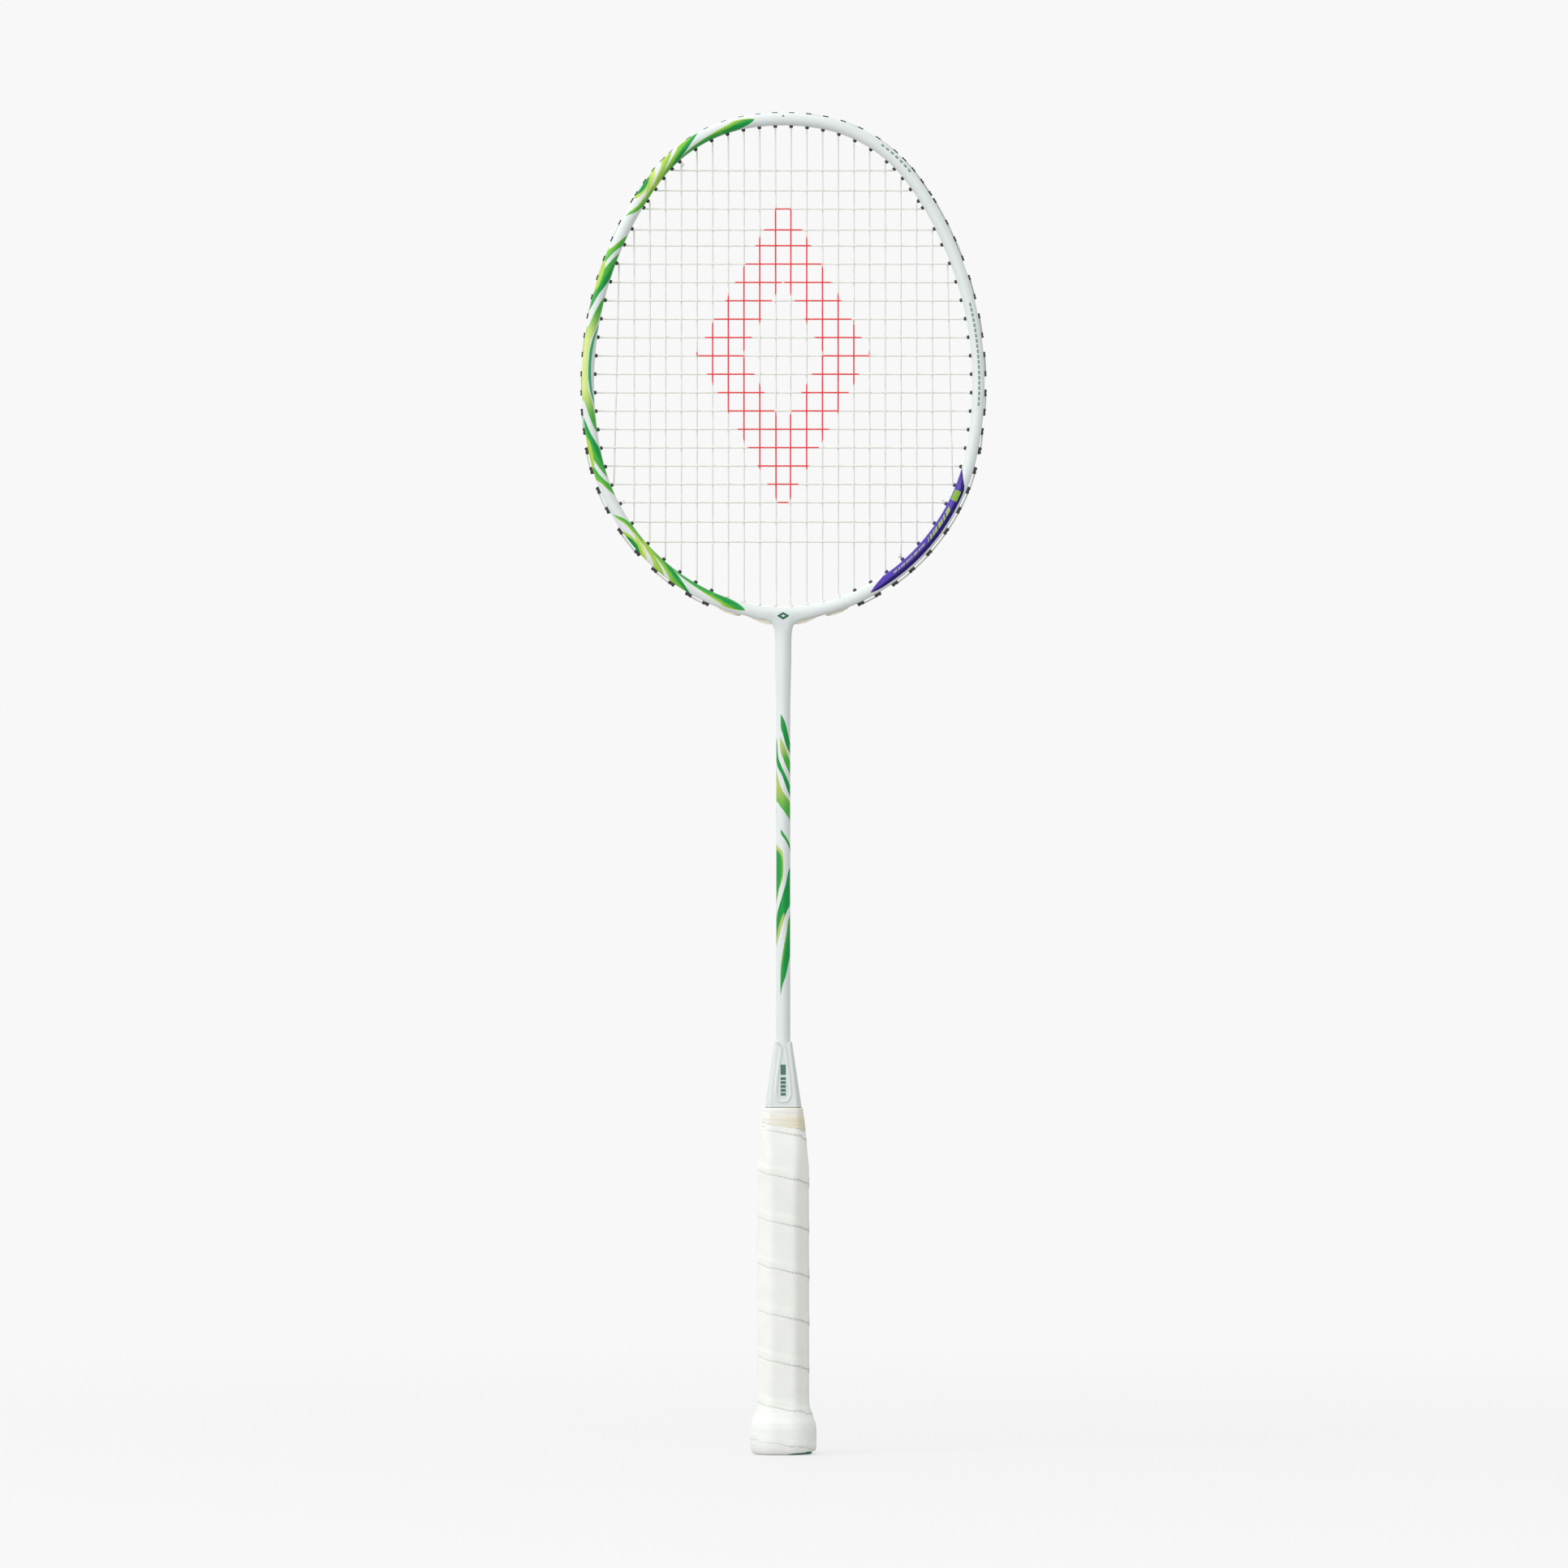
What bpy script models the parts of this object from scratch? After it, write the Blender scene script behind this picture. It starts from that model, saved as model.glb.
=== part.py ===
"""Badminton racket, strung and gripped, as separate pieces.

Frame: origin at the centre of the butt face, +Z along the racket towards the head, +X across the
head, +Y through the strings. The front of the racket faces -Y. Lengths are in metres.
"""

import math
from dataclasses import dataclass

import bmesh
import bpy
from mathutils import Vector

# Head ring. Its inside face is a chain of arcs from the bottom up one side: (radius, degrees).
# A last arc closes it at the top, centred on the middle line.
HEAD_BOTTOM_Z = 0.4267
HEAD_ARCS = ((0.0863, 24.8), (0.0993, 53.6), (0.1717, 47.6), (0.0692, 43.6))
TUBE_WIDTH = 0.0060
GROOVE_FLOOR = 0.0053

# Half sections of the tube and of its hollow: (distance outwards from the inside face, half depth)
TUBE_HALF_SECTION = (
    (0.0, 0.0021),
    (0.0012, 0.0044),
    (0.0033, 0.0050),
    (GROOVE_FLOOR, 0.0043),
    (TUBE_WIDTH, 0.0030),
    (GROOVE_FLOOR, 0.0022),
)
HOLLOW_HALF_SECTION = ((0.0010, 0.0021), (0.0030, 0.0039), (0.0045, 0.0023))
CONNECTOR_HALF_SECTION = ((0.0013, 0.0018), (0.0030, 0.0035), (0.0042, 0.0020))

# Neck under the ring, where the shaft leaves it: (height, half width, half depth)
NECK_SECTIONS = (
    (0.4236, 0.0185, 0.0036),
    (0.4224, 0.0165, 0.0042),
    (0.4210, 0.0120, 0.0045),
    (0.4202, 0.0086, 0.0046),
    (0.4192, 0.0065, 0.0047),
    (0.4178, 0.0056, 0.0048),
    (0.4155, 0.0050, 0.0048),
    (0.4120, 0.0046, 0.0046),
    (0.4056, 0.0042, 0.0042),
)
NECK_BORE_RADIUS = 0.0027
NECK_CORNERS = 20

# Shaft
SHAFT_BOTTOM_Z = 0.1150
SHAFT_FLARE_Z = 0.3730
SHAFT_RADIUS = 0.00355
SHAFT_TOP_RADIUS = 0.00415
SHAFT_CORNERS = 20

# Three-way connector inside the ring and the shaft
CONNECTOR_SPIGOT_RADIUS = 0.0023
CONNECTOR_SPIGOT_BOTTOM_Z = 0.3850
CONNECTOR_ARM_ANGLE = math.radians(9.5)
CONNECTOR_ARM_STEPS = 8

# Strings
MAINS_PER_SIDE = 11
MAIN_PITCH = 0.0080
OUTER_MAIN_X = 0.0854
CROSS_COUNT = 21
CROSS_TOP_Z = 0.6473
CROSS_SECOND_Z = 0.6371
CROSS_BOTTOM_Z = 0.4585
CROSS_PITCH = 0.009306
STRING_RADIUS = 0.00035
STRING_CLEARANCE = 0.0002
STRING_LEAD_IN = 0.0040
WEAVE_HEIGHT = 0.00085
KNOT_RADIUS = 0.00075
KNOT_LENGTH = 0.0008

# Grommets
GROMMET_CORNERS = 6
DRILL_RADIUS = 0.00150
DRILL_OVERRUN = 0.0010
BARREL_RADIUS = 0.00115
BORE_RADIUS = 0.00075
COLLAR_RADIUS = 0.00190
COLLAR_THICKNESS = 0.0012
BARREL_TIP = -0.0012
STRING_TURN = -0.0016
TWO_STRING_DRILL = 0.00175
TWO_STRING_BARREL = 0.00145
TWO_STRING_BORE = 0.00115
TWO_STRING_OFFSET = 0.00050
BYPASS_OFFSET = 0.00080
WEB_HALF_DEPTH = 0.0012
WEB_THICKNESS = 0.0008

# Handle. An octagon is named by its half width; its half depth is smaller by HANDLE_FLATTENING.
HANDLE_FLATTENING = 0.00155
HANDLE_CORNER_SHARE = 0.507
TAPE_BOTTOM_Z = 0.1639
TAPE_STEP_Z = 0.1694
TAPE_TOP_Z = 0.1746

# Profiles from the butt upwards: (height, half width)
CORE_PROFILE = (
    (0.0131, 0.01465), (0.0164, 0.01435), (0.0196, 0.0129), (0.0230, 0.0116), (0.0280, 0.0114),
    (0.1439, 0.0114), (0.1521, 0.01067), (TAPE_BOTTOM_Z, 0.0098), (TAPE_TOP_Z - 0.0001, 0.0090),
)
CORE_NOSE = ((TAPE_TOP_Z, 0.0083), (0.1900, 0.0058))
GRIP_BOTTOM_Z = 0.0011
GRIP_TOP_Z = 0.1636
GRIP_OUTSIDE = (
    (GRIP_BOTTOM_Z, 0.0154), (0.0026, 0.0163), (0.0049, 0.01675), (0.0131, 0.01675),
    (0.0164, 0.0161), (0.0196, 0.0147), (0.0230, 0.0135), (0.0280, 0.0132), (0.1439, 0.0132),
    (0.1521, 0.01247), (GRIP_TOP_Z, 0.01135),
)
TAPE_OUTSIDE = (
    (TAPE_BOTTOM_Z, 0.01125), (TAPE_STEP_Z - 0.0001, 0.0109), (TAPE_STEP_Z, 0.01075),
    (TAPE_TOP_Z, 0.01045),
)
CONE_BOTTOM_Z = 0.1749
CONE_TOP_Z = 0.2077
CONE_OUTSIDE = ((CONE_BOTTOM_Z, 0.0099), (CONE_TOP_Z, 0.0046))
CONE_INSIDE = ((CONE_BOTTOM_Z, 0.0086), (0.1912, 0.0061))
CONE_BORE_BOTTOM_Z = 0.1985
CONE_BORE_CORNER_RADIUS = 0.00455
CONE_NOTCH_Z = 0.2036
CONE_NOTCH_HALF_WIDTH = 0.0037
CORE_BORE_RADIUS = 0.00385
CORE_BORE_BOTTOM_Z = 0.1130
CAP_HALF_WIDTH = 0.0146
CAP_EDGE = 0.0005
CAP_THICKNESS = 0.0026
CAP_PLUG_RADIUS = 0.0070
CAP_PLUG_TOP_Z = 0.0090

# Staple that pins the start of the wrap to the wood
STAPLE_Z = 0.0100
STAPLE_HALF_WIDTH = 0.0040
STAPLE_LEG = 0.0050
STAPLE_WIRE = 0.0006
STAPLE_CROWN_X = 0.0140
BUTT_OUTSIDE_X = 0.0160

GAP = 0.0003
CROSSWAYS = Vector((0.0, 1.0, 0.0))


# ---------------------------------------------------------------- mesh helpers

def new_object(name, vertices, faces):
    """Closed mesh object with its faces pointing out."""
    mesh = bpy.data.meshes.new(name)
    mesh.from_pydata([tuple(v) for v in vertices], [], faces)
    bm = bmesh.new()
    bm.from_mesh(mesh)
    bmesh.ops.recalc_face_normals(bm, faces=bm.faces)
    bm.to_mesh(mesh)
    bm.free()
    part = bpy.data.objects.new(name, mesh)
    bpy.context.collection.objects.link(part)
    return part


def skin(name, rings, closed=False):
    """Skin over rings of points; the ends are capped, or joined to each other when closed."""
    corners = len(rings[0])
    vertices = [point for ring in rings for point in ring]
    faces = []
    steps = len(rings) if closed else len(rings) - 1
    for step in range(steps):
        here = step * corners
        there = (step + 1) % len(rings) * corners
        for corner in range(corners):
            after = (corner + 1) % corners
            faces.append((here + corner, here + after, there + after, there + corner))
    if not closed:
        faces.append(tuple(range(corners)))
        faces.append(tuple(range(len(vertices) - corners, len(vertices))))
    return new_object(name, vertices, faces)


def circle(radius_x, radius_y, z, corners):
    """Ring of points round the Z axis."""
    turns = [2 * math.pi * corner / corners for corner in range(corners)]
    return [Vector((radius_x * math.cos(a), radius_y * math.sin(a), z)) for a in turns]


def round_bar(radius, low_z, high_z, corners=SHAFT_CORNERS):
    return skin("bar", [circle(radius, radius, z, corners) for z in (low_z, high_z)])


def octagon(half_width, z):
    """Handle section: broad flats face front and back, with a cut corner between flats."""
    half_depth = half_width - HANDLE_FLATTENING
    corner = HANDLE_CORNER_SHARE * half_width
    wide, deep = half_width - corner, half_depth - corner
    outline = (
        (half_width, -deep), (half_width, deep), (wide, half_depth), (-wide, half_depth),
        (-half_width, deep), (-half_width, -deep), (-wide, -half_depth), (wide, -half_depth),
    )
    return [Vector((x, y, z)) for x, y in outline]


def combine(target, tool, operation):
    """Boolean of two objects, kept in the first; the second is used up."""
    modifier = target.modifiers.new(operation.title(), "BOOLEAN")
    modifier.operation = operation
    modifier.solver = "EXACT"
    modifier.object = tool
    evaluated = target.evaluated_get(bpy.context.evaluated_depsgraph_get())
    mesh = bpy.data.meshes.new_from_object(evaluated)
    target.modifiers.clear()
    target.data = mesh
    bpy.data.objects.remove(tool)


def join(name, parts):
    """One mesh object out of several that don't touch."""
    bm = bmesh.new()
    for part in parts:
        bm.from_mesh(part.data)
        bpy.data.objects.remove(part)
    mesh = bpy.data.meshes.new(name)
    bm.to_mesh(mesh)
    bm.free()
    joined = bpy.data.objects.new(name, mesh)
    bpy.context.collection.objects.link(joined)
    return joined


def finish(part, colour, roughness, metallic=0.0, smooth_angle=None):
    """Give the part its own material, and smooth shading where it is round."""
    material = bpy.data.materials.new(part.name)
    material.use_nodes = True
    shader = material.node_tree.nodes["Principled BSDF"]
    shader.inputs["Base Color"].default_value = (*colour, 1.0)
    shader.inputs["Roughness"].default_value = roughness
    shader.inputs["Metallic"].default_value = metallic
    part.data.materials.clear()
    part.data.materials.append(material)
    if smooth_angle is not None:
        part.data.shade_smooth()
        part.data.set_sharp_from_angle(angle=math.radians(smooth_angle))


# ---------------------------------------------------------------- head outline

def inside_face(angle):
    """Point on the ring's inside face on the +X side, and the outward normal there.

    The angle is the normal's own, from 0 straight down to pi straight up.
    """
    point = Vector((0, 0, HEAD_BOTTOM_Z))
    start = 0.0
    for radius, degrees in HEAD_ARCS:
        end = min(angle, start + math.radians(degrees))
        point += radius * arc_step(start, end)
        start = end
    if angle > start:
        top_radius = point.x / math.sin(start)
        point += top_radius * arc_step(start, angle)
    return point, Vector((math.sin(angle), 0, -math.cos(angle)))


def arc_step(start, end):
    """Chord of a unit arc between two normal angles."""
    return Vector((math.sin(end) - math.sin(start), 0, math.cos(start) - math.cos(end)))


def tube_ring(angle, half_section):
    """Section of the tube at an angle, as a closed ring of points."""
    foot, outward = inside_face(angle)
    front = [foot + outward * depth - CROSSWAYS * half for depth, half in half_section]
    back = [foot + outward * depth + CROSSWAYS * half for depth, half in reversed(half_section)]
    return front + back


def neck_half_width(z):
    """Half width of the neck's outline at a height; 0 above the neck."""
    for (z_high, wide, _), (z_low, narrow, _) in zip(NECK_SECTIONS, NECK_SECTIONS[1:]):
        if z_low <= z <= z_high:
            return narrow + (wide - narrow) * (z - z_low) / (z_high - z_low)
    return 0.0


# ---------------------------------------------------------------- string holes

@dataclass
class Hole:
    """One drilled hole with its grommet. Index counts up from the bottom on each side."""
    side: int
    index: int
    foot: Vector
    outward: Vector
    seat: float
    two_strings: bool

    @property
    def along(self):
        return self.outward.cross(CROSSWAYS).normalized()

    def point(self, depth, crossways=0.0):
        return self.foot + self.outward * depth + CROSSWAYS * crossways

    def ring(self, depth, radius, crossways_radius):
        """Hexagon round the hole's axis with two corners towards the front and back."""
        turns = [math.pi / 6 + corner * 2 * math.pi / GROMMET_CORNERS
                 for corner in range(GROMMET_CORNERS)]
        return [
            self.point(depth, crossways_radius * math.sin(a)) + self.along * radius * math.cos(a)
            for a in turns
        ]

    def turn_inside(self, crossways):
        return self.point(STRING_TURN, crossways)

    def turn_outside(self, crossways):
        height = self.seat + GAP + COLLAR_THICKNESS + STRING_CLEARANCE + STRING_RADIUS
        return self.point(height, crossways)


def main_x(column):
    """Distance of a main string from the middle; column 1 is the innermost."""
    return OUTER_MAIN_X if column == MAINS_PER_SIDE else MAIN_PITCH * (column - 0.5)


def cross_z(row):
    """Height of a cross string; row 1 is the top one."""
    if row == 1:
        return CROSS_TOP_Z
    if row == CROSS_COUNT:
        return CROSS_BOTTOM_Z
    return CROSS_SECOND_Z - CROSS_PITCH * (row - 2)


# What each hole of one side carries, from the bottom up: mains by column, crosses by row.
BOTTOM_MAINS = {column: column for column in range(1, 11)} | {12: 11}
TOP_MAINS = {24: 11, 26: 10, 28: 9, 30: 8} | {39 - column: column for column in range(1, 8)}
CROSS_HOLES = {9: 21, 10: 20, 11: 19} | {30 - row: row for row in range(6, 19)} | {
    25: 5, 26: 4, 27: 3, 29: 2, 31: 1}
HOLES_PER_SIDE = 38

# Holes where a string's end comes back in and is knotted
MAIN_KNOT_INDEX = 11
CROSS_START_KNOT = (-1, 32)
CROSS_END_KNOT = (1, 8)
TIE_OFF_INDEXES = (8, 11, 32)

# The two innermost bottom holes lean away from the shaft: lean added to the outward normal
HOLE_LEAN = {1: 0.50, 2: 0.12}


def hole_axis(angle, index):
    foot, outward = inside_face(angle)
    lean = HOLE_LEAN.get(index, 0.0)
    return foot, (outward + Vector((lean, 0, 0))).normalized()


def find_angle(index):
    """Angle at which the middle of the barrel's inner end lies on its main or its cross."""
    main_column = BOTTOM_MAINS.get(index, TOP_MAINS.get(index))
    if main_column is None or main_column == MAINS_PER_SIDE:
        axis, target, low, high = 2, cross_z(CROSS_HOLES[index]), 0.0, math.pi
    else:
        top = index in TOP_MAINS
        axis, target, low, high = 0, main_x(main_column), math.pi * top, math.pi / 2
    for _ in range(50):
        middle = (low + high) / 2
        foot, outward = hole_axis(middle, index)
        if (foot + outward * BARREL_TIP / 2)[axis] < target:
            low = middle
        else:
            high = middle
    return low


def seat_depth(foot, outward, index):
    """Distance along the hole at which its collar clears the groove floor and the neck."""
    along = outward.cross(CROSSWAYS)
    depth = TUBE_WIDTH if index in HOLE_LEAN else GROOVE_FLOOR
    edge_offsets = (-COLLAR_RADIUS, 0.0, COLLAR_RADIUS)
    while True:
        edges = [foot + outward * depth + along * offset for offset in edge_offsets]
        if all(abs(edge.x) >= neck_half_width(edge.z) for edge in edges):
            return depth
        depth += GAP / 3


def make_holes():
    """All holes by (side, index), and the ring angles half way between neighbours."""
    holes = {}
    angles = [find_angle(index) for index in range(1, HOLES_PER_SIDE + 1)]
    for index, angle in enumerate(angles, start=1):
        foot, outward = hole_axis(angle, index)
        seat = seat_depth(foot, outward, index)
        is_main = index in BOTTOM_MAINS or index in TOP_MAINS
        two_strings = is_main and index in CROSS_HOLES or index in TIE_OFF_INDEXES
        for side in (-1, 1):
            mirror = Vector((side, 1, 1))
            holes[side, index] = Hole(
                side, index, foot * mirror, outward * mirror, seat, two_strings)
    borders = [0.0] + [(a + b) / 2 for a, b in zip(angles, angles[1:])] + [math.pi]
    return holes, borders


def drill(hole):
    """Cutter for a hole, long enough to pass both walls of the tube."""
    crossways = TWO_STRING_DRILL if hole.two_strings else DRILL_RADIUS
    reach = (-DRILL_OVERRUN, hole.seat + DRILL_OVERRUN)
    return skin("drill", [hole.ring(depth, DRILL_RADIUS, crossways) for depth in reach])


# ---------------------------------------------------------------- frame, connector, shaft

def ring_sections(borders, half_section):
    """Sections all the way round: up the +X side, then down the -X side."""
    right = [tube_ring(angle, half_section) for angle in borders]
    left = [[Vector((-p.x, p.y, p.z)) for p in ring] for ring in reversed(right[1:-1])]
    return right + left


def head_frame(holes, borders):
    """Hollow ring with the neck under it, drilled for the strings."""
    frame = skin("head_frame", ring_sections(borders, TUBE_HALF_SECTION), closed=True)
    neck = [circle(wide, deep, z, NECK_CORNERS) for z, wide, deep in NECK_SECTIONS]
    combine(frame, skin("neck", neck), "UNION")
    hollow = skin("hollow", ring_sections(borders, HOLLOW_HALF_SECTION), closed=True)
    combine(frame, hollow, "DIFFERENCE")
    bore = round_bar(NECK_BORE_RADIUS, NECK_SECTIONS[-1][0] - GAP, NECK_SECTIONS[0][0])
    combine(frame, bore, "DIFFERENCE")
    combine(frame, join("drills", [drill(hole) for hole in holes.values()]), "DIFFERENCE")
    finish(frame, (0.86, 0.89, 0.88), 0.2, smooth_angle=35)


def t_joint(holes):
    """Connector: two curved arms inside the ring and a spigot down into the shaft."""
    steps = CONNECTOR_ARM_STEPS
    turns = [CONNECTOR_ARM_ANGLE * (2 * step / steps - 1) for step in range(steps + 1)]
    arms = []
    for turn in turns:
        mirror = Vector((math.copysign(1, turn), 1, 1))
        arms.append([p * mirror for p in tube_ring(abs(turn), CONNECTOR_HALF_SECTION)])
    joint = skin("t_joint", arms)
    middle_z = inside_face(0.0)[0].z - HOLLOW_HALF_SECTION[1][0]
    spigot = round_bar(CONNECTOR_SPIGOT_RADIUS, CONNECTOR_SPIGOT_BOTTOM_Z, middle_z)
    combine(joint, spigot, "UNION")
    near = [holes[side, index] for side in (-1, 1) for index in (1, 2)]
    combine(joint, join("drills", [drill(hole) for hole in near]), "DIFFERENCE")
    finish(joint, (0.62, 0.63, 0.65), 0.35, metallic=1.0, smooth_angle=35)


def shaft():
    """Hollow carbon shaft, a little thicker where it meets the neck."""
    top = NECK_SECTIONS[-1][0] - GAP
    profile = (
        (SHAFT_RADIUS, SHAFT_BOTTOM_Z),
        (SHAFT_RADIUS, SHAFT_FLARE_Z),
        (SHAFT_TOP_RADIUS, top),
        (NECK_BORE_RADIUS, top),
        (NECK_BORE_RADIUS, SHAFT_BOTTOM_Z),
    )
    tube = skin("shaft", [circle(r, r, z, SHAFT_CORNERS) for r, z in profile], closed=True)
    finish(tube, (0.88, 0.90, 0.89), 0.18, smooth_angle=35)


# ---------------------------------------------------------------- handle

def core_half_width(z):
    """Half width of the wooden core at a height."""
    if z <= CORE_PROFILE[0][0]:
        return CORE_PROFILE[0][1]
    for (z_low, low), (z_high, high) in zip(CORE_PROFILE, CORE_PROFILE[1:]):
        if z <= z_high:
            return low + (high - low) * (z - z_low) / (z_high - z_low)
    return CORE_PROFILE[-1][1]


def sleeve(name, outside):
    """Octagonal sleeve with a gap to the core under it."""
    bottom_z, top_z = outside[0][0], outside[-1][0]
    between = [z for z, _ in CORE_PROFILE if bottom_z < z < top_z]
    inside = [(z, core_half_width(z) + GAP) for z in (bottom_z, *between, top_z)]
    loop = [*outside, *reversed(inside)]
    return skin(name, [octagon(half, z) for z, half in loop], closed=True)


def handle_core():
    """Wooden octagon with a tapered nose inside the cone and a flared butt."""
    bottom = (CAP_THICKNESS + GAP, CORE_PROFILE[0][1])
    profile = (bottom, *CORE_PROFILE, *CORE_NOSE)
    core = skin("handle_core", [octagon(half, z) for z, half in profile])
    nose_z = CORE_NOSE[-1][0]
    combine(core, round_bar(CORE_BORE_RADIUS, CORE_BORE_BOTTOM_Z, nose_z + GAP), "DIFFERENCE")
    combine(core, round_bar(CAP_PLUG_RADIUS + GAP, 0.0, CAP_PLUG_TOP_Z + GAP), "DIFFERENCE")
    combine(core, staple("staple_slot", GAP), "DIFFERENCE")
    finish(core, (0.72, 0.55, 0.36), 0.6)


def staple(name, margin=0.0):
    """U of flat wire lying in the wood, crown outwards; a margin makes the slot it lies in."""
    outer = STAPLE_HALF_WIDTH + margin
    inner = STAPLE_HALF_WIDTH - STAPLE_WIRE - margin
    crown_out = BUTT_OUTSIDE_X if margin else STAPLE_CROWN_X
    crown_in = STAPLE_CROWN_X - STAPLE_WIRE - margin
    tip = STAPLE_CROWN_X - STAPLE_LEG - margin
    outline = (
        (tip, -outer), (crown_out, -outer), (crown_out, outer), (tip, outer),
        (tip, inner), (crown_in, inner), (crown_in, -inner), (tip, -inner),
    )
    half_wire = STAPLE_WIRE / 2 + margin
    rings = [[Vector((x, y, z)) for x, y in outline]
             for z in (STAPLE_Z - half_wire, STAPLE_Z + half_wire)]
    return skin(name, rings)


def end_cap():
    """Moulded cap that closes the butt, with a plug pressed into the core."""
    sections = [octagon(CAP_HALF_WIDTH - CAP_EDGE, 0.0), octagon(CAP_HALF_WIDTH, CAP_EDGE),
                octagon(CAP_HALF_WIDTH, CAP_THICKNESS)]
    cap = skin("end_cap", sections)
    combine(cap, round_bar(CAP_PLUG_RADIUS, CAP_THICKNESS / 2, CAP_PLUG_TOP_Z), "UNION")
    finish(cap, (0.02, 0.22, 0.16), 0.35)


def cone_cap():
    """Octagonal cone over the core's nose, open for the shaft, notched front and back."""
    rings = [cone_octagon(half, z) for z, half in CONE_OUTSIDE]
    rings += [regular_octagon(CONE_BORE_CORNER_RADIUS, z) for z in (CONE_TOP_Z, CONE_BORE_BOTTOM_Z)]
    rings += [cone_octagon(half, z) for z, half in reversed(CONE_INSIDE)]
    cone = skin("cone_cap", rings, closed=True)
    notch_slope = (CONE_TOP_Z - CONE_NOTCH_Z) / CONE_NOTCH_HALF_WIDTH
    reach = CONE_OUTSIDE[0][1]
    outline = ((0.0, CONE_NOTCH_Z), (reach, CONE_NOTCH_Z + reach * notch_slope),
               (-reach, CONE_NOTCH_Z + reach * notch_slope))
    notch = [[Vector((x, y, z)) for x, z in outline] for y in (-reach, reach)]
    combine(cone, skin("notch", notch), "DIFFERENCE")
    finish(cone, (0.90, 0.92, 0.91), 0.15)


def cone_octagon(half, z):
    """Octagon that turns from the handle's shape at the foot to a regular one at the top."""
    share = (CONE_TOP_Z - z) / (CONE_TOP_Z - CONE_BOTTOM_Z)
    regular = regular_octagon(half / math.cos(math.pi / 8), z)
    return [a * share + b * (1 - share) for a, b in zip(octagon(half, z), regular)]


def regular_octagon(corner_radius, z):
    """Octagon with equal sides, its corners in the same order as a handle section's."""
    turns = [math.pi / 8 * (2 * corner - 1) for corner in range(8)]
    return [Vector((corner_radius * math.cos(a), corner_radius * math.sin(a), z)) for a in turns]


# ---------------------------------------------------------------- grommets

def barrel(name, hole):
    """Collar outside the tube and a barrel through it, with the bore for the string."""
    tall = TWO_STRING_BARREL if hole.two_strings else BARREL_RADIUS
    tall_bore = TWO_STRING_BORE if hole.two_strings else BORE_RADIUS
    under = hole.seat + GAP
    top = under + COLLAR_THICKNESS
    rings = [
        hole.ring(top, BORE_RADIUS, tall_bore),
        hole.ring(top, COLLAR_RADIUS, COLLAR_RADIUS),
        hole.ring(under, COLLAR_RADIUS, COLLAR_RADIUS),
        hole.ring(under, BARREL_RADIUS, tall),
        hole.ring(BARREL_TIP, BARREL_RADIUS, tall),
        hole.ring(BARREL_TIP, BORE_RADIUS, tall_bore),
    ]
    return skin(name, rings, closed=True)


def web(first, second):
    """Flat bar from inside one collar to inside the next."""
    ends = []
    for here, there in ((first, second), (second, first)):
        towards = math.copysign(1, here.along.dot(there.foot - here.foot))
        inset = here.along * towards * (BORE_RADIUS + COLLAR_RADIUS) / 2
        low = here.point(here.seat + GAP * 1.5) + inset
        high = low + here.outward * WEB_THICKNESS
        ends.append([low - CROSSWAYS * WEB_HALF_DEPTH, low + CROSSWAYS * WEB_HALF_DEPTH,
                     high + CROSSWAYS * WEB_HALF_DEPTH, high - CROSSWAYS * WEB_HALF_DEPTH])
    return skin("web", ends)


def grommet(name, group, clear=False):
    """One moulded grommet for a group of neighbouring holes."""
    part = barrel(name, group[0])
    for before, after in zip(group, group[1:]):
        bar = web(before, after)
        combine(bar, barrel("next", after), "UNION")
        combine(part, bar, "UNION")
    if clear:
        finish(part, (0.86, 0.80, 0.62), 0.3, smooth_angle=35)
    else:
        finish(part, (0.03, 0.03, 0.03), 0.45, smooth_angle=35)


def grommets(holes):
    """Singles low on the sides, two-hole strips above, and clear strips beside the shaft."""
    last_single = {1: 17, -1: 16}
    for side, word in ((1, "right"), (-1, "left")):
        grommet(f"clear_grommet_strip_{word}", [holes[side, index] for index in (1, 2, 3, 4)], True)
        singles = list(range(5, last_single[side] + 1))
        firsts = list(range(last_single[side] + 1, HOLES_PER_SIDE, 2))
        if side < 0:
            singles.append(31)
            firsts = [first for first in firsts if first < 31] + [32, 34, 36]
        for index in singles:
            grommet(f"grommet_{word}_{index:02d}", [holes[side, index]])
        for first in firsts:
            pair = [holes[side, first], holes[side, first + 1]]
            grommet(f"grommet_pair_{word}_{first:02d}_{first + 1:02d}", pair)
    centre = [holes[-1, HOLES_PER_SIDE], holes[1, HOLES_PER_SIDE]]
    grommet("grommet_pair_top_centre", centre)


# ---------------------------------------------------------------- strings

def tube_along(name, path, radii, corners=4):
    """Mitred tube along a path, with one radius for each point of the path."""
    legs = [(b - a).normalized() for a, b in zip(path, path[1:])]
    side = legs[0].cross(CROSSWAYS).normalized()
    up = side.cross(legs[0])
    turns = [2 * math.pi * corner / corners for corner in range(corners)]
    offsets = [side * math.cos(a) + up * math.sin(a) for a in turns]
    rings = [[path[0] + offset * radii[0] for offset in offsets]]
    for number in range(1, len(path) - 1):
        before, after = legs[number - 1], legs[number]
        mitre = (before + after).normalized()
        slid = [o - before * (o.dot(mitre) / before.dot(mitre)) for o in offsets]
        rings.append([path[number] + offset * radii[number] for offset in slid])
        offsets = [o - after * o.dot(after) for o in slid]
    rings.append([path[-1] + offset * radii[-1] for offset in offsets])
    return skin(name, rings)


def hole_offset(hole, side_of_strings):
    """Crossways place of a string in a hole: in the middle, or beside the other string."""
    return side_of_strings * TWO_STRING_OFFSET if hole.two_strings else 0.0


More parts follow.
